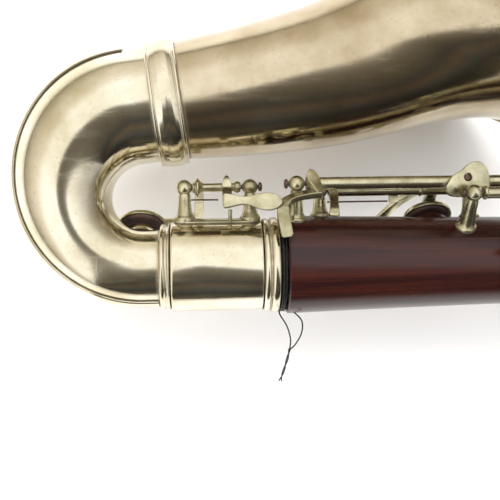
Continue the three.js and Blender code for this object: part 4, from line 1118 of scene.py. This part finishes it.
# ---------------------------------------------------------------- stage, light and camera
def build_floor():
    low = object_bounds()[0][2]
    size = 4.0
    mesh = bpy.data.meshes.new("floor")
    corners = [(-size, -size, low), (size, -size, low), (size, size, low), (-size, size, low)]
    mesh.from_pydata(corners, [], [(0, 1, 2, 3)])
    g = Graph("table")
    tone = g.mix(g.ramp(g.noise(6, detail=3), 0.3, 0.7), (0.86, 0.855, 0.85), (0.90, 0.895, 0.89))
    mesh.materials.append(g.surface(tone, 0.55, g.bump(g.noise(900), 0.03, 0.0002)))
    add_object("floor", mesh)


def build_world():
    """The studio, as radiance against the angle from overhead: a broad bright ceiling panel that starts just
    in front of overhead, a dark side behind the lens, and less light toward the neck than toward the bow.
    The lens itself sees an even pale backdrop beyond the floor."""
    g = Graph("studio", world=True)
    direction = g.add("ShaderNodeTexCoord").outputs["Generated"]
    parts = g.add("ShaderNodeSeparateXYZ", {0: direction})
    x, y, z = (parts.outputs[i] for i in range(3))

    def profile(across, stops):
        """A curve through (degrees from overhead, radiance) stops, read at the angle of across from up."""
        share = g.ramp(g.math("ARCTAN2", across, z), -pi, pi)
        ramp = g.add("ShaderNodeValToRGB", {"Fac": share})
        elements = ramp.color_ramp.elements
        while len(elements) < len(stops):
            elements.new(0.5)
        for element, (angle, level) in zip(elements, stops):
            element.position = (angle + 180) / 360
            tint = level if isinstance(level, tuple) else (level, level, level)
            element.color = (*tint, 1.0)
        return ramp.outputs["Color"]

    sideways = g.math("MAXIMUM", g.math("MULTIPLY", x, -1.0), g.math("MULTIPLY", x, 0.5))
    slanted = g.math("ADD", y, g.math("MULTIPLY", sideways, 1.8))
    behind = [(-180, 0.08), (-84, (0.12, 0.105, 0.08)), (-72, 0.06), (-58, 0.10), (-48, (0.15, 0.115, 0.085))]
    behind += [(-36, 0.075), (-20, (0.15, 0.135, 0.11)), (-4, (0.26, 0.245, 0.21))]
    ceiling = [(1, 0.50), (5, 1.5), (52, 1.5), (66, (1.15, 1.08, 0.97)), (88, (0.85, 0.78, 0.64)), (180, 0.5)]
    side_to_side = [(-180, 0.25), (-92, 0.30), (-84, 0.7), (-70, 0.9), (-52, 1.0), (16, 1.0), (34, 0.84)]
    side_to_side += [(50, 0.6), (86, 0.3), (180, 0.3)]
    light = g.mix(1.0, profile(slanted, behind + ceiling), profile(x, side_to_side), "MULTIPLY")
    path = g.add("ShaderNodeLightPath")
    strength = g.ramp(path.outputs["Is Glossy Ray"], 0, 1, 1.2, 1.0)
    seen = g.mix(path.outputs["Is Camera Ray"], light, (0.78, 0.78, 0.79))
    shader = g.add("ShaderNodeBackground", {"Color": seen, "Strength": strength})
    g.add("ShaderNodeOutputWorld", {"Surface": shader.outputs[0]})
    bpy.context.scene.world = g.owner


def add_light(name, place, aim, size, power, colour):
    """A soft lamp for the floor and the wood, left out of the reflections. Places in millimetres."""
    data = bpy.data.lights.new(name, "AREA")
    data.shape = "RECTANGLE"
    data.size, data.size_y = size
    data.energy = power
    data.color = colour
    lamp = add_object(name, data)
    lamp.location = in_frame(place)
    lamp.rotation_euler = (Vector(aim) - Vector(place)).to_track_quat("-Z", "Y").to_euler()
    lamp.visible_glossy = False


def build_camera():
    """Looks down on the lower end of the instrument from the side that faces up."""
    data = bpy.data.cameras.new("camera")
    data.sensor_width = 36.0
    data.angle = radians(36.0)
    data.clip_start = 0.01
    place = in_frame((-28.5, 5.9, 300.0))
    aim = in_frame((-10.5, 5.9, 0.0))
    roll = radians(1.1)
    forward = (aim - place).normalized()
    level = Vector((-forward.z, 0, forward.x))
    upright = level.cross(forward)
    right = level * cos(roll) - upright * sin(roll)
    up = level * sin(roll) + upright * cos(roll)
    camera = add_object("camera", data)
    camera.matrix_world = Matrix.Translation(place) @ Matrix((right, up, -forward)).transposed().to_4x4()
    bpy.context.scene.camera = camera


def build_all():
    build_bell()
    build_band()
    build_bow()
    build_guard()
    build_socket()
    build_saddle()
    build_bell_key()
    build_lower_joint()
    build_thread()
    build_link_key()
    build_vent_key()
    build_crossover_key()
    build_hand("right", (168.0, 226.0, 284.0, 342.0))
    build_thumb_rest()
    build_upper_joint()
    build_hand("left", (430.0, 486.0, 542.0, 598.0))
    build_register_key()
    build_neck()
    build_mouthpiece()


build_all()
build_floor()
build_world()
add_light("window", (-150, 450, 700), (0, 0, 0), (0.6, 0.4), 6.5, (1.0, 0.99, 0.99))
add_light("fill", (60, -520, 420), (0, -40, -30), (0.8, 0.4), 2.6, (0.97, 0.96, 1.0))
build_camera()
bpy.context.scene.view_settings.view_transform = "Standard"
